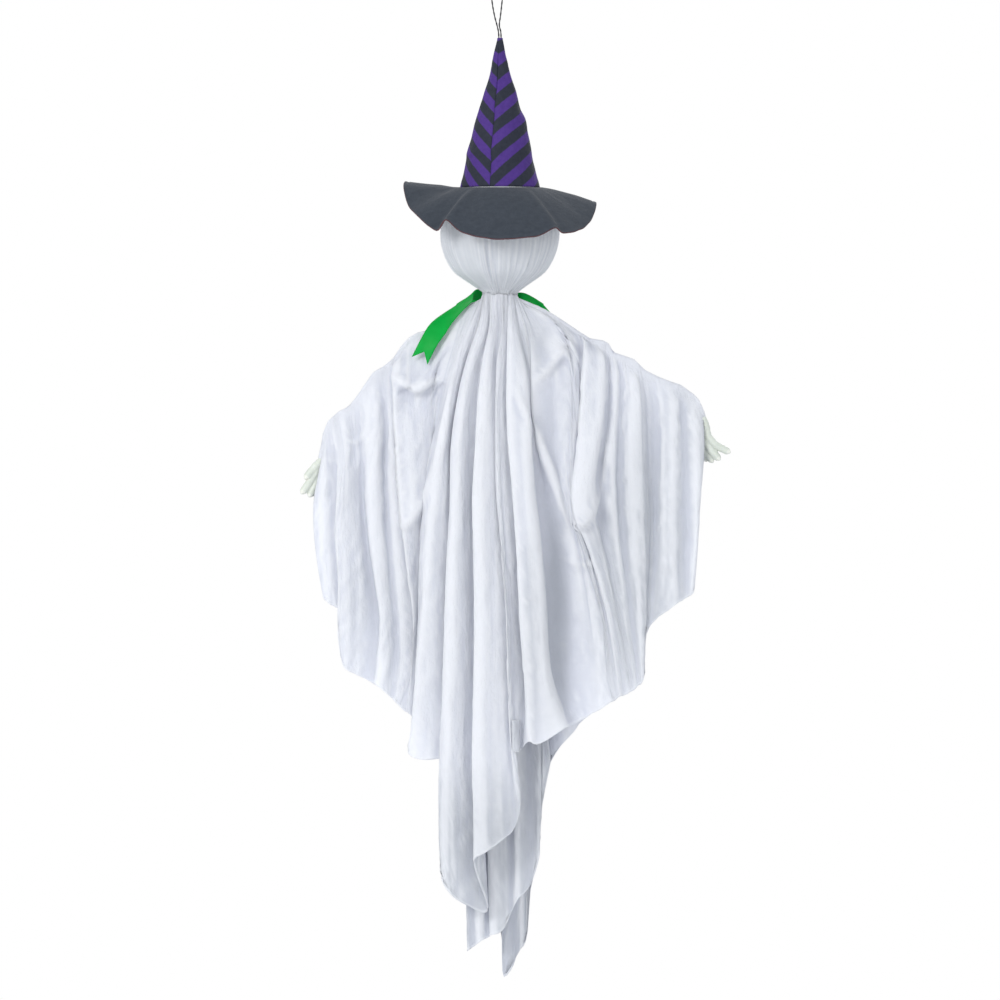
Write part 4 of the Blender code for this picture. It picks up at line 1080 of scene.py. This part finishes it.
def head_grid():
    """The cloth over the ball: gathered at the neck, in pleats that fade as they climb."""
    distance = math.hypot(NECK_RADIUS, NECK_BELOW_BALL)
    tangent = math.acos(HEAD_RADIUS / distance)
    start = math.atan2(NECK_RADIUS, NECK_BELOW_BALL) + tangent
    profile = [Vector((NECK_RADIUS + spread * MM, 0, NECK_Z + rise * MM))
               for spread, rise in HEAD_RUFFLE]
    for step in range(1, BALL_STEPS + 1):
        angle = start + (math.pi - start) * step / BALL_STEPS
        profile.append(Vector((HEAD_RADIUS * math.sin(angle), 0,
                               BALL_Z - HEAD_RADIUS * math.cos(angle))))
    profile[-1].x = TOP_HOLE
    shares = [(row / (HEAD_ROWS - 1)) ** HEAD_CLOSER for row in range(HEAD_ROWS)]
    rows = along(smooth_curve(profile), shares)
    columns = []
    uvs = []
    for column in range(HEAD_COLUMNS + 1):
        angle = 2 * math.pi * column / HEAD_COLUMNS
        points = []
        for row, place in enumerate(rows):
            climb = (place.z - NECK_Z) / (BALL_Z - NECK_Z)
            fade = 1 - ease(0.35, 1.25, climb)
            around = Vector((math.cos(angle), math.sin(angle), 0))
            broad = ring_noise(around, 4.5, climb * 0.8)
            narrow = ring_noise(around, 13, climb * 1.1 + 5)
            fine = ring_noise(around, 21, climb * 1.5 + 9)
            ridges = 0.4 - abs(ring_noise(around, 9, climb * 0.9 + 21))
            ridges += 0.3 - abs(ring_noise(around, 17, climb + 33))
            pleated = 0.6 + 0.9 * ring_noise(around, 3.1, 41)
            swell = 1.6 * broad + pleated * (2.2 * narrow + 1.1 * fine + 3.2 * ridges)
            lift = (0.22 + 0.78 * fade) * ease(0.0, 0.1, climb) * swell * MM
            low = 1 - ease(0.02, 0.3, climb)
            lip = 1.4 * low * ring_noise(around, 17, 51) * MM
            height = place.z + neck_shift(around) * low + lip
            radius = place.x + (lift if row < HEAD_ROWS - 1 else 0.0)
            points.append(Vector((radius * around.x, radius * around.y, height)))
            uvs.append((angle * HEAD_CLOTH[0], -climb * HEAD_CLOTH[1]))
        columns.append(points)
    return columns, uvs


def hem_share(row, rows):
    return 1.0 if row >= rows - len(HEM_ROWS) + 1 else 0.0


def add_looks(item, hem, one_layer_shade, head, crest, groove_shade):
    """What the sheet's material reads at each point: hem, painted one-layer shade, head, painted
    crest highlight and painted groove shade.
    """
    for name, values in (("hem", hem), ("one_layer_shade", one_layer_shade), ("head", head), ("crest", crest),
                         ("groove_shade", groove_shade)):
        add_float(item.data, name, values)


# The folded end of a hem that stands on the sheet near its foot: x and drop, in mm
TAB_SIDES = (15.6, 25.4)
TAB_ENDS = (545, 586)
TAB_STAND = 1.3
TAB_COLUMNS = 8
TAB_ROWS = 26
TAB_REACH = 0.004
TAB_THICKNESS = 0.0009
# Painted one-layer shade on the hem's folded end
TAB_ONE_LAYER_SHADE = 0.5
LOW_ROWS = 50


def make_tab(columns, material):
    """A narrow folded end of hem, lying on the sheet."""
    vertices = []
    for across in range(TAB_COLUMNS + 1):
        for down in range(TAB_ROWS + 1):
            share = across / TAB_COLUMNS
            x = (TAB_SIDES[0] + (TAB_SIDES[1] - TAB_SIDES[0]) * share) * MM
            drop = TAB_ENDS[0] + (TAB_ENDS[1] - TAB_ENDS[0]) * down / TAB_ROWS
            z = NECK_Z - drop * MM
            depth = 0.0
            for column in columns:
                for point in column[-LOW_ROWS:]:
                    if max(abs(point.x - x), abs(point.z - z)) < TAB_REACH:
                        depth = min(depth, point.y)
            bow = 4 * share * (1 - share)
            edge = min(1.0, 6 * min(share, 1 - share), 4 * min(down, TAB_ROWS - down) / 6)
            wave = noise.noise(Vector((share * 2, drop * 0.12, 3.3)))
            out = TAB_STAND * (0.35 + 0.65 * edge) + 0.5 * bow + 0.5 * wave
            vertices.append(Vector((x + wave * 0.4 * MM, depth - out * MM, z)))
    uvs = [(point.x, point.z) for point in vertices]
    faces = grid_faces(TAB_COLUMNS + 1, TAB_ROWS + 1)
    item = mesh_piece("hem_end", vertices, faces, material, uvs)
    rim = []
    for across in range(TAB_COLUMNS + 1):
        for down in range(TAB_ROWS + 1):
            near = min(across, TAB_COLUMNS - across, down, TAB_ROWS - down)
            rim.append(1.0 if near == 0 else 0.0)
    plain = [0.0] * len(rim)
    # The end's rim gets the painted crest highlight and the whole end painted one-layer shade
    add_looks(item, rim, [TAB_ONE_LAYER_SHADE] * len(rim), plain, rim, plain)
    thicken(item, TAB_THICKNESS)
    return place_in_scene(item)


SHOWN_SEED = 1.5
HIDDEN_SEED = 40.5
UNDER_TAB = (0.005, 0.04)


def make_outer_sheet(material):
    """The white sheet in one piece: both hanging sides and the part over the head."""
    shown = spread_lines(all_lines(-1, SHOWN_ROWS), -1, SHOWN_COLUMN)
    hidden = spread_lines(all_lines(1, HIDDEN_ROWS), 1, HIDDEN_COLUMN)
    soften_relief(shown)
    uvs = wrinkle(shown, -1, SHOWN_SEED) + wrinkle(hidden, 1, HIDDEN_SEED)
    head, head_uvs = head_grid()
    uvs += head_uvs
    trees = drape_trees()
    vertices = []
    faces = []
    hem = []
    crest = []
    groove_shade = []
    for columns, flip, round_head in ((shown, False, False), (hidden, True, False),
                                      (head, True, True)):
        rows = len(columns[0])
        # Painted highlight on crests and painted shade in grooves, swapped where the faces are
        # flipped
        crest_highlights, groove_shades = fold_shading(columns, round_head)
        # The drapes add a painted highlight on the side that shows
        if columns is shown:
            points = [point for column in shown for point in column]
            crest_highlights = [min(1.0, value + DRAPE_HIGHLIGHT * drape_lift(trees, point) / MM)
                      for value, point in zip(crest_highlights, points)]
        crest += groove_shades if flip else crest_highlights
        groove_shade += crest_highlights if flip else groove_shades
        faces += grid_faces(len(columns), rows, False, flip, len(vertices))
        for column in columns:
            vertices += column
            hem += [0.0 if round_head else hem_share(row, rows) for row in range(rows)]
    item = mesh_piece("outer_sheet", vertices, faces, material, uvs)
    heads = len(head) * len(head[0])
    add_looks(item, hem, [one_layer_shade_at(point) for point in vertices],
              [0.0] * (len(vertices) - heads) + [1.0] * heads, crest, groove_shade)
    weld(item.data)
    thicken(item, SHEET_THICKNESS)
    place_in_scene(item, "shroud")
    low, high = UNDER_TAB
    tab = make_tab([column for column in shown if low < column[-1].x < high], material)


# Inner sheet: x of each line's start on the wire, then points from the neck's centre, in mm
UNDER_CLOTH = [
    (-13, [(-28, 137, 8), (-44, 291, 10), (-49, 445, 10), (-46, 599, 10), (-42, 844, 9)]),
    (-11, [(-25, 137, 3), (-38, 291, 3), (-41, 445, 3), (-37, 700, 4), (-35, 838, 6)]),
    (-9, [(-21, 137, 9), (-30, 291, 12), (-31, 445, 12), (-26, 728, 12), (-25, 831, 10)]),
    (-7, [(-17, 137, 4), (-24, 291, 4), (-24, 445, 4), (-17, 715, 2), (-15, 826, 4)]),
    (-5, [(-15, 137, 10), (-21, 291, 14), (-20, 445, 14), (-14, 720, 13), (-12, 823, 13)]),
    (-2, [(-8, 137, 8), (-8, 291, 11), (-5, 445, 12), (0, 728, 11), (2, 817, 11)]),
    (2, [(2, 137, 4), (6, 291, 4), (11, 445, 4), (14, 728, 5), (14, 795, 6)]),
    (5, [(6, 137, 10), (15, 291, 13), (19, 445, 13), (22, 715, 11), (22, 778, 11)]),
    (9, [(13, 137, 5), (26, 291, 5), (31, 445, 5), (36, 700, 5), (36, 764, 6)]),
    (12, [(20, 137, 9), (38, 291, 12), (45, 445, 12), (51, 651, 9), (49, 724, 8)]),
    (12.6, [(22, 137, 8), (41, 291, 10), (48, 445, 10), (54, 600, 9), (53, 662, 8)]),
    (13.2, [(24, 137, 10), (44, 291, 13), (52, 445, 13), (61, 560, 12), (65, 601, 10)]),
]
UNDER_ROWS = 84
UNDER_COLUMN = 3.2
UNDER_HIDDEN_LENGTH = 0.9
UNDER_SEED = 80.5
# Painted one-layer shade over the whole inner sheet
UNDER_ONE_LAYER_SHADE = 0.75


def make_inner_sheet(material):
    """The second sheet, laid over the arm wire inside the first."""
    wire_left = along(arm_curve(LEFT_ARM), (0.0,))[0]
    wire_right = along(arm_curve(RIGHT_ARM), (0.0,))[0]
    vertices = []
    faces = []
    uvs = []
    hem = []
    crest = []
    groove_shade = []
    for side, length in ((-1, 1.0), (1, UNDER_HIDDEN_LENGTH)):
        lines = []
        for start, line in UNDER_CLOTH:
            part = (start * MM - wire_left.x) / (wire_right.x - wire_left.x)
            wire = wire_left.lerp(wire_right, part) - Vector((0, 0, FOLD_RADIUS))
            top = []
            for degrees in WRAP_ANGLES:
                angle = math.radians(degrees)
                out = Vector((0, side * math.sin(angle), math.cos(angle)))
                top.append(wire + FOLD_RADIUS * out)
            hanging = [(x, drop * length, out) for x, drop, out in line]
            lines.append((None, start, top + body_rows(top[-1], line_points(hanging, side),
                                                       UNDER_ROWS, side)))
        columns = spread_lines(lines, side, UNDER_COLUMN)
        uvs += wrinkle(columns, side, UNDER_SEED + side)
        # Painted highlight on crests and painted shade in grooves, swapped on the hidden side
        crest_highlights, groove_shades = fold_shading(columns)
        crest += groove_shades if side > 0 else crest_highlights
        groove_shade += crest_highlights if side > 0 else groove_shades
        rows = len(columns[0])
        faces += grid_faces(len(columns), rows, False, side > 0, len(vertices))
        for column in columns:
            vertices += column
            hem += [hem_share(row, rows) for row in range(rows)]
    item = mesh_piece("inner_sheet", vertices, faces, material, uvs)
    add_looks(item, hem, [UNDER_ONE_LAYER_SHADE] * len(vertices), [0.0] * len(vertices), crest, groove_shade)
    weld(item.data)
    thicken(item, SHEET_THICKNESS)
    place_in_scene(item, "under_cloth")


# Hat crown: its edges as they are seen, x and z in mm, from the tip down
CROWN_RIGHT = [(3, -75.7), (13, -119), (20, -140), (25.7, -163), (32, -178), (35, -195),
               (40.5, -218), (43, -232), (51.4, -266.5)]
CROWN_LEFT = [(-4, -76), (-9, -98.8), (-15.4, -129.6), (-26.3, -163), (-32, -182), (-38.5, -206.6),
              (-43, -222), (-43.5, -233.6), (-51.4, -266.5)]
CROWN_TIP = 0.0034
CROWN_THICKNESS = 0.0011
CROWN_SIDES = 132
CROWN_ROWS = 84
SEAM_AT = math.radians(-15)
SEAM_HALF_ANGLE = math.radians(47.5)
# Stripes on each side of the seam: where the first one starts and how far apart they lie
RIGHT_STRIPE = (0.0270, 0.0248)
LEFT_STRIPE = (0.0251, 0.0218)


def edge_at(curve, z):
    for start, end in zip(curve, curve[1:]):
        if start.z >= z >= end.z:
            return start.lerp(end, (start.z - z) / max(start.z - end.z, TINY)).x
    return curve[0].x if z > curve[0].z else curve[-1].x


def make_crown(material):
    """The pointed crown, one fan-shaped piece rolled up and sewn along the side that shows."""
    left = smooth_curve([Vector((x * MM, 0, z * MM)) for x, z in CROWN_LEFT])
    right = smooth_curve([Vector((x * MM, 0, z * MM)) for x, z in CROWN_RIGHT])
    vertices = []
    uvs = []
    slope = math.hypot(HAT_MOUTH, HAT_TIP_Z - HAT_FOOT_Z) / (HAT_TIP_Z - HAT_FOOT_Z)
    columns = CROWN_SIDES + 1
    for column in range(columns):
        turn = 2 * math.pi * column / CROWN_SIDES
        angle = SEAM_AT + turn
        fan = SEAM_HALF_ANGLE * (1 - turn / math.pi)
        for row in range(CROWN_ROWS):
            share = row / (CROWN_ROWS - 1)
            z = HAT_TIP_Z + (HAT_FOOT_Z - HAT_TIP_Z) * share
            low, high = edge_at(left, z), edge_at(right, z)
            middle = (low + high) / 2 * ease(0.0, 0.15, share) * (1 - ease(0.85, 1.0, share))
            half = max((high - low) / 2, CROWN_TIP)
            seam = math.exp(-(min(turn, 2 * math.pi - turn) / 0.06) ** 2)
            dent = noise.noise(Vector((math.sin(turn) * 1.4, math.cos(turn) * 1.4, share * 7)))
            fine = noise.noise(Vector((math.sin(turn) * 5, math.cos(turn) * 5, share * 16)))
            soft = ease(0.02, 0.2, share) * (1 - ease(0.93, 1.0, share))
            radius = half + soft * (1.3 * dent + 0.5 * fine - 0.9 * seam) * MM
            vertices.append(Vector((middle + radius * math.sin(angle),
                                    -radius * math.cos(angle), z)))
            along_fan = share * (HAT_TIP_Z - HAT_FOOT_Z) * slope * math.cos(fan)
            blend = ease(-0.35, 0.35, fan)
            first = LEFT_STRIPE[0] + (RIGHT_STRIPE[0] - LEFT_STRIPE[0]) * blend
            pitch = LEFT_STRIPE[1] + (RIGHT_STRIPE[1] - LEFT_STRIPE[1]) * blend
            uvs.append((turn * 0.05, (along_fan - first) / pitch + 10))
    item = mesh_piece("hat_crown", vertices, grid_faces(columns, CROWN_ROWS), material, uvs)
    thicken(item, CROWN_THICKNESS)
    place_in_scene(item, "hat_cone")


# Brim's edge: degrees round from the side that shows towards +X, drop below the hat's foot and
# radius, in mm
BRIM_EDGE = [(0, 67, 123), (12, 66, 123), (24, 62, 123), (36, 52, 121), (42, 59, 122),
             (55, 56, 123), (70, 44, 124), (88, 22, 124), (105, 20, 122), (130, 34, 120),
             (150, 44, 118), (172, 40, 118), (195, 46, 118), (215, 36, 120), (235, 14, 122),
             (255, -8, 123), (272, -2, 124), (287, 24, 123), (300, 38, 122), (312, 51, 120),
             (318, 54, 119), (325, 41, 122), (334, 54, 123), (347, 64, 123)]
BRIM_SIDES = 240
BRIM_RINGS = (0.0, 0.04, 0.1, 0.18, 0.27, 0.36, 0.45, 0.54, 0.63, 0.72, 0.8, 0.87, 0.915, 0.935,
              0.955, 0.975, 0.99, 1.0)
# Over 1 the brim bends down more near its edge
BRIM_DROOP = 1.35
BRIM_SEAT = 0.0006
BRIM_THICKNESS = 0.0014
BRIM_STITCH = (0.925, 0.965)


def brim_edge():
    count = len(BRIM_EDGE)
    spread = [Vector(BRIM_EDGE[index % count]) + Vector((360 * (index // count), 0, 0))
              for index in range(-2, count + 2)]
    curve = smooth_curve(spread)
    even = []
    for step in range(BRIM_SIDES):
        degrees = 360 * step / BRIM_SIDES
        after = next(index for index, point in enumerate(curve) if point.x > degrees)
        start, end = curve[after - 1:after + 1]
        point = start.lerp(end, (degrees - start.x) / (end.x - start.x))
        even.append((math.radians(degrees), point.y * MM, point.z * MM))
    return even


def make_brim(material):
    """The floppy brim, with a stitched hem and a little thread showing under its edge."""
    vertices = []
    rim = []
    uvs = []
    seat = HAT_FOOT_Z + BRIM_SEAT
    for angle, drop, radius in brim_edge():
        for share in BRIM_RINGS:
            reach = HAT_MOUTH + (radius - HAT_MOUTH) * share
            height = seat - drop * share ** BRIM_DROOP
            around = Vector((math.sin(angle), -math.cos(angle), 0))
            ripple = ring_noise(around, 3.2, share * 1.6)
            creases = ring_noise(around, 9, share * 4 + 3)
            height += ease(0.0, 0.4, share) * (1.8 * ripple + 0.7 * creases) * MM
            stitch = 0.5 * MM if BRIM_STITCH[0] < share < BRIM_STITCH[1] else 0.0
            point = in_view(Vector((reach * around.x, reach * around.y, height - stitch)))
            vertices.append(point)
            rim.append(1.0 if share > 0.995 else 0.0)
            uvs.append((angle * 0.1, share * 0.07))
    item = mesh_piece("brim", vertices, grid_faces(BRIM_SIDES, len(BRIM_RINGS), True), material,
                      uvs)
    add_float(item.data, "rim", rim)
    thicken(item, BRIM_THICKNESS)
    place_in_scene(item, "hat_brim")


# Ribbon tails, from the tip that shows, round the hidden side of the neck, to the other tip:
# centre (x, y, drop below the neck) and width direction, in mm
TAILS = [((-103, -29, 86), (20, -3, -10)), ((-92, -29, 64), (21, -4, -8)),
         ((-80, -24, 45), (20, -8, -12)), ((-66, -16, 30), (11, -18, -12)),
         ((-50, -10, 16), (5, -21, -10)), ((-37, -2, 5), (3, -22, -9)),
         ((-31, 11.5, 0), (-4, -14, -14)), ((-17, 22.6, 5), (-4, -2, -12)),
         ((0, 26.2, 5), (0, 0, -10.2)), ((17, 23.7, 5), (2, -2, -14)),
         ((30, 17.2, 6), (-3, -8, -16)), ((48, 22.4, 19), (-7, 4, -20)),
         ((63, 28.4, 37), (-9, 6, -21)), ((75, 33.4, 57), (-12, 4, -20)),
         ((82, 36.4, 79), (-20, 2, -12))]
RIBBON_WIDTH = 25
TAIL_STEPS = 150
TAIL_NOTCH = 0.038
TAIL_CROWN = 0.0008
ACROSS_STEPS = 10
RIBBON_THICKNESS = 0.0004


def ribbon_grid(name, centres, widths, material, slot, closed=False, crown=0.0, notch=0.0):
    """A strip along a centre line, a little crowned, with swallow-tail ends where notched."""
    vertices = []
    uvs = []
    count = len(centres)
    run = lengths_along(centres)
    for across in range(ACROSS_STEPS + 1):
        part = across / ACROSS_STEPS - 0.5
        inset = notch * (1 - 2 * abs(part))
        for step in range(count):
            at = (inset + (1 - 2 * inset) * step / (count - 1)) * (count - 1) if notch else step
            index = min(int(at), count - 2)
            share = at - index
            centre = centres[index].lerp(centres[index + 1], share)
            width = widths[index].lerp(widths[index + 1], share)
            if closed:
                ahead = centres[(index + 1) % count] - centres[index - 1]
            else:
                ahead = centres[min(index + 1, count - 1)] - centres[max(index - 1, 0)]
            out = ahead.cross(width).normalized()
            bow = crown * (1 - 4 * part * part)
            ripple = noise.noise(Vector((run[index] * 60, part * 2.5, 4.4))) * 0.5 * MM
            vertices.append(centre + width * part + out * (bow + ripple))
            uvs.append((run[index], part * width.length))
    faces = grid_faces(ACROSS_STEPS + 1, count)
    if closed:
        for across in range(ACROSS_STEPS):
            a = across * count + count - 1
            b = a + count
            faces.append((a, a + 1 - count, b + 1 - count, b))
    item = mesh_piece(name, vertices, faces, material, uvs)
    thicken(item, RIBBON_THICKNESS, 0.0)
    place_in_scene(item, slot)
    return item


def make_tails(material):
    places = smooth_curve([Vector((x, y, -drop)) * MM for (x, y, drop), _ in TAILS], 12)
    widths = smooth_curve([Vector(width) for _, width in TAILS], 12)
    centres = []
    spans = []
    for step in range(TAIL_STEPS + 1):
        at = step / TAIL_STEPS * (len(places) - 1)
        index = min(int(at), len(places) - 2)
        width = widths[index].lerp(widths[index + 1], at - index)
        centre = places[index].lerp(places[index + 1], at - index)
        centres.append(centre + Vector((0, 0, NECK_Z)))
        spans.append(width.normalized() * min(RIBBON_WIDTH, width.length) * MM)
    item = ribbon_grid("ribbon_tails", centres, spans, material, "bow_tails", False, TAIL_CROWN,
                       TAIL_NOTCH)


# Bow on the hidden side of the neck, in metres; the pinch, the opening and the ribbon's width
# at the knot are shares
BOW_OUT = 0.0289
BOW_DROP = 0.005
BOW_HALF_SPAN = 0.056
BOW_LOOP_DEPTH = 0.011
BOW_SAG = 0.019
BOW_PINCH = 0.12
BOW_OPENING = 1.5
BOW_KNOT_RIBBON = 0.42
LOOP_STEPS = 144
LOOP_CROWN = 0.0006
KNOT_WIDTH = 0.011
KNOT_HALF_HEIGHT = 0.0085
KNOT_HALF_DEPTH = 0.0046
KNOT_STEPS = 56
KNOT_SQUARENESS = 0.6


def make_loops(material):
    centres = []
    widths = []
    for step in range(LOOP_STEPS):
        angle = 2 * math.pi * step / LOOP_STEPS
        x = BOW_HALF_SPAN * math.cos(angle)
        share = abs(math.cos(angle))
        bulge = BOW_OPENING * share * share * (1 - share ** 3)
        y = BOW_OUT + BOW_LOOP_DEPTH * (0.5 * share + (BOW_PINCH + bulge) * math.sin(angle))
        width = BOW_KNOT_RIBBON + (1 - BOW_KNOT_RIBBON) * min(1.0, share * 1.6)
        centres.append(Vector((x, y, NECK_Z - BOW_DROP - BOW_SAG * share * share)))
        widths.append(Vector((0, 0, RIBBON_WIDTH * MM * width)))
    item = ribbon_grid("ribbon_loops", centres, widths, material, "bow_loops", True,
                       LOOP_CROWN)


def squared(value):
    return math.copysign(abs(value) ** KNOT_SQUARENESS, value)


def make_knot_band(material):
    centres = []
    widths = []
    for step in range(KNOT_STEPS):
        angle = 2 * math.pi * step / KNOT_STEPS
        out = squared(math.cos(angle)) * KNOT_HALF_DEPTH
        rise = squared(math.sin(angle)) * KNOT_HALF_HEIGHT
        centres.append(Vector((0, BOW_OUT + out, NECK_Z - BOW_DROP + rise)))
        widths.append(Vector((KNOT_WIDTH, 0, 0)))
    item = ribbon_grid("ribbon_knot", centres, widths, material, "bow_knot", True)


# Hands: blunt moulded fingers that hang from the wire's ends. Each digit is a root, a middle
# and a tip, measured like the sheet's lines but outwards as y, in mm, and the radius at its
# root. A palm's rods are a start, an end and a radius.
WIRE_END = 0.985
WRIST_RADII = (4.2, 5.0)
HAND_GRAIN = 0.0008
HAND_SMOOTH_STEPS = 4
HANDS = [
    ("left_hand", "hand_left", LEFT_ARM,
     [((-232, 217, 3), (-237, 232, 5), 6.0), ((-232, 220, 5), (-231, 236, 8), 6.0)],
     [((-236, 220, 2), (-242, 227, 1), (-247, 233, 0), 5.6),
      ((-237, 230, 3), (-245, 242, 2), (-252, 252, 0), 5.4),
      ((-233, 234, 5), (-238, 247, 4), (-243, 256, 3), 5.2),
      ((-228, 236, 8), (-231, 249, 9), (-235, 259, 8), 4.8),
      ((-226, 226, 10), (-223, 238, 13), (-222, 248, 12), 4.3)]),
    ("right_hand", "hand_right", RIGHT_ARM,
     [((263, 166, 3), (266, 178, 5), 5.4), ((264, 172, 5), (263, 190, 7), 6.2)],
     [((267, 183, 3), (277, 194, 1), (291, 201, 0), 5.3),
      ((264, 189, 5), (271, 200, 4), (279, 209, 3), 5.4),
      ((260, 190, 8), (265, 203, 9), (271, 212, 8), 5.0),
      ((257, 188, 11), (259, 201, 13), (264, 211, 13), 4.3),
      ((259, 178, 12), (255, 187, 17), (255, 196, 19), 4.5)]),
]


def capsule(mesh, start, end, start_radius, end_radius):
    run = end - start
    turn = run.to_track_quat("Z", "Y").to_matrix().to_4x4()
    place = turn.copy()
    place.translation = (start + end) / 2
    bmesh.ops.create_cone(mesh, cap_ends=True, segments=20, radius1=start_radius,
                          radius2=end_radius, depth=run.length, matrix=place)
    for point, radius in ((start, start_radius), (end, end_radius)):
        place = turn.copy()
        place.translation = point
        bmesh.ops.create_uvsphere(mesh, u_segments=20, v_segments=12, radius=radius,
                                  matrix=place)


def from_neck(x, drop, out):
    return Vector((x, out, -drop)) * MM + Vector((0, 0, NECK_Z))


def make_hand(name, slot, arm, palm, digits, material):
    """A moulded vinyl hand, with knuckles, nails and a wrist over the wire's end."""
    curve = arm_curve(arm)
    wrist = along(curve, (WIRE_END,))[0] - outward_normal(curve, WIRE_END) * FOLD_RADIUS
    mesh = bmesh.new()
    capsule(mesh, wrist, from_neck(*palm[0][0]), WRIST_RADII[0] * MM, WRIST_RADII[1] * MM)
    for start, end, radius in palm:
        capsule(mesh, from_neck(*start), from_neck(*end), radius * MM, radius * 0.9 * MM)
    nails = []
    for root, middle, tip, radius in digits:
        points = [from_neck(*place) for place in (palm[1][0], root, middle, tip)]
        size = radius * MM
        capsule(mesh, points[0], points[1], size, size)
        capsule(mesh, points[1], points[2], size, size * 0.9)
        capsule(mesh, points[2], points[3], size * 0.98, size * 0.9)
        ahead = (points[3] - points[2]).normalized()
        nail = points[3] + ahead * size * 0.45 + Vector((0, -1, 0)) * size * 0.35
        capsule(mesh, points[3], nail + ahead * size * 0.2, size * 0.7, size * 0.45)
        nails.append((nail + ahead * size * 0.2, size * 0.85))
    data = bpy.data.meshes.new(name)
    mesh.to_mesh(data)
    mesh.free()
    data.materials.append(material)
    item = bpy.data.objects.new(name, data)
    place_in_scene(item, slot)
    blend = item.modifiers.new("blend", "REMESH")
    blend.mode = "VOXEL"
    blend.voxel_size = HAND_GRAIN
    smooth = item.modifiers.new("smooth", "SMOOTH")
    smooth.iterations = HAND_SMOOTH_STEPS
    bpy.context.view_layer.objects.active = item
    bpy.ops.object.select_all(action="DESELECT")
    item.select_set(True)
    for made in ("blend", "smooth"):
        bpy.ops.object.modifier_apply(modifier=made)
    values = []
    for vertex in item.data.vertices:
        near = min((vertex.co - point).length / radius for point, radius in nails)
        values.append(1.0 - ease(0.75, 1.0, near))
    add_float(item.data, "nail", values)
    item.data.shade_smooth()


TIE_RADIUS = 0.0191
TIE_HALF_THICKNESS = 0.0012


def make_tie(material):
    bpy.ops.mesh.primitive_torus_add(major_radius=TIE_RADIUS, minor_radius=TIE_HALF_THICKNESS,
                                     major_segments=96, minor_segments=16, location=(0, 0, 0))
    item = bpy.context.object
    item.name = "neck_elastic"
    for vertex in item.data.vertices:
        vertex.co.z += NECK_Z
    item.data.materials.append(material)
    item.data.shade_smooth()
    place_in_scene(item, "neck_tie")


# Surroundings

FLOOR_Z = -1.45
FLOOR_RADIUS = 1.3
FLOOR_COLOUR = (0.92, 0.92, 0.93, 1.0)
WORLD_STRENGTH = 0.86
SKY_COLOUR = (0.93, 0.96, 1.0, 1)


def make_floor():
    bpy.ops.object.select_all(action="DESELECT")
    bpy.ops.mesh.primitive_circle_add(vertices=96, radius=FLOOR_RADIUS, fill_type="NGON",
                                      location=(0, 0, FLOOR_Z))
    floor = bpy.context.object
    floor.name = "floor"
    made, *_, shader = new_material("white floor")
    shader.inputs["Base Color"].default_value = FLOOR_COLOUR
    shader.inputs["Roughness"].default_value = 0.9
    floor.data.materials.append(made)


def make_world():
    """Plain white to look at, and a softer light on the object."""
    world = bpy.data.worlds.new("world")
    bpy.context.scene.world = world
    world.use_nodes = True
    nodes = world.node_tree.nodes
    links = world.node_tree.links
    nodes.clear()
    path = nodes.new("ShaderNodeLightPath")
    seen = math_node(nodes, links, "MAXIMUM", path.outputs["Is Camera Ray"],
                     path.outputs["Is Glossy Ray"])
    seen = math_node(nodes, links, "MAXIMUM", seen, path.outputs["Is Transmission Ray"])
    white = nodes.new("ShaderNodeBackground")
    white.inputs["Color"].default_value = (1, 1, 1, 1)
    white.inputs["Strength"].default_value = 1.0
    soft = nodes.new("ShaderNodeBackground")
    soft.inputs["Color"].default_value = SKY_COLOUR
    soft.inputs["Strength"].default_value = WORLD_STRENGTH
    mixed = nodes.new("ShaderNodeMixShader")
    output = nodes.new("ShaderNodeOutputWorld")
    links.new(seen, mixed.inputs[0])
    links.new(soft.outputs[0], mixed.inputs[1])
    links.new(white.outputs[0], mixed.inputs[2])
    links.new(mixed.outputs[0], output.inputs[0])


# Lights: place, what they aim at, size in metres and power in watts
LAMPS = [("key", (-2.2, -3.2, 0.9), (0, 0, -0.55), 1.3, 76),
         ("fill", (3.0, -3.0, -0.4), (0, 0, -0.6), 2.0, 19),
         ("back", (1.0, 3.4, 0.8), (0, 0, -0.6), 2.0, 30)]


def make_lamps():
    for name, place, aim, size, power in LAMPS:
        data = bpy.data.lights.new(name, "AREA")
        data.size = size
        data.energy = power
        lamp = bpy.data.objects.new(name, data)
        lamp.location = place
        lamp.rotation_euler = (Vector(aim) - Vector(place)).to_track_quat("-Z", "Y").to_euler()
        bpy.context.scene.collection.objects.link(lamp)


def finish_hidden_pieces(cord, foam, steel):
    """Finishes for the knot, the ball and the arm wire."""
    for name, material in (("cord_knot", cord), ("head_ball", foam), ("arm_wire", steel)):
        item = bpy.data.objects[name]
        if not item.material_slots:
            item.data.materials.append(material)
        for slot in item.material_slots:
            slot.material = material


def main():
    make_camera()
    cord = plain_material("black cord", (0.008, 0.008, 0.010), (0.03, 0.03, 0.035), 0.85, 900)
    make_cord(cord)
    make_crown(stripe_material())
    make_brim(felt_material())
    sheet = sheet_material()
    make_outer_sheet(sheet)
    make_inner_sheet(sheet)
    satin = satin_material()
    make_tails(satin)
    make_loops(satin)
    make_knot_band(satin)
    vinyl = vinyl_material()
    for name, slot, arm, palm, digits in HANDS:
        make_hand(name, slot, arm, palm, digits, vinyl)
    make_tie(plain_material("beige elastic", (0.50, 0.42, 0.30), (0.66, 0.56, 0.42), 0.8, 500))
    foam = plain_material("white foam", (0.82, 0.82, 0.83), (0.9, 0.9, 0.9), 0.9, 220)
    steel = plain_material("galvanised wire", (0.45, 0.46, 0.47), (0.62, 0.62, 0.63), 0.4, 300,
                           1.0)
    finish_hidden_pieces(cord, foam, steel)
    make_floor()
    make_world()
    make_lamps()


main()
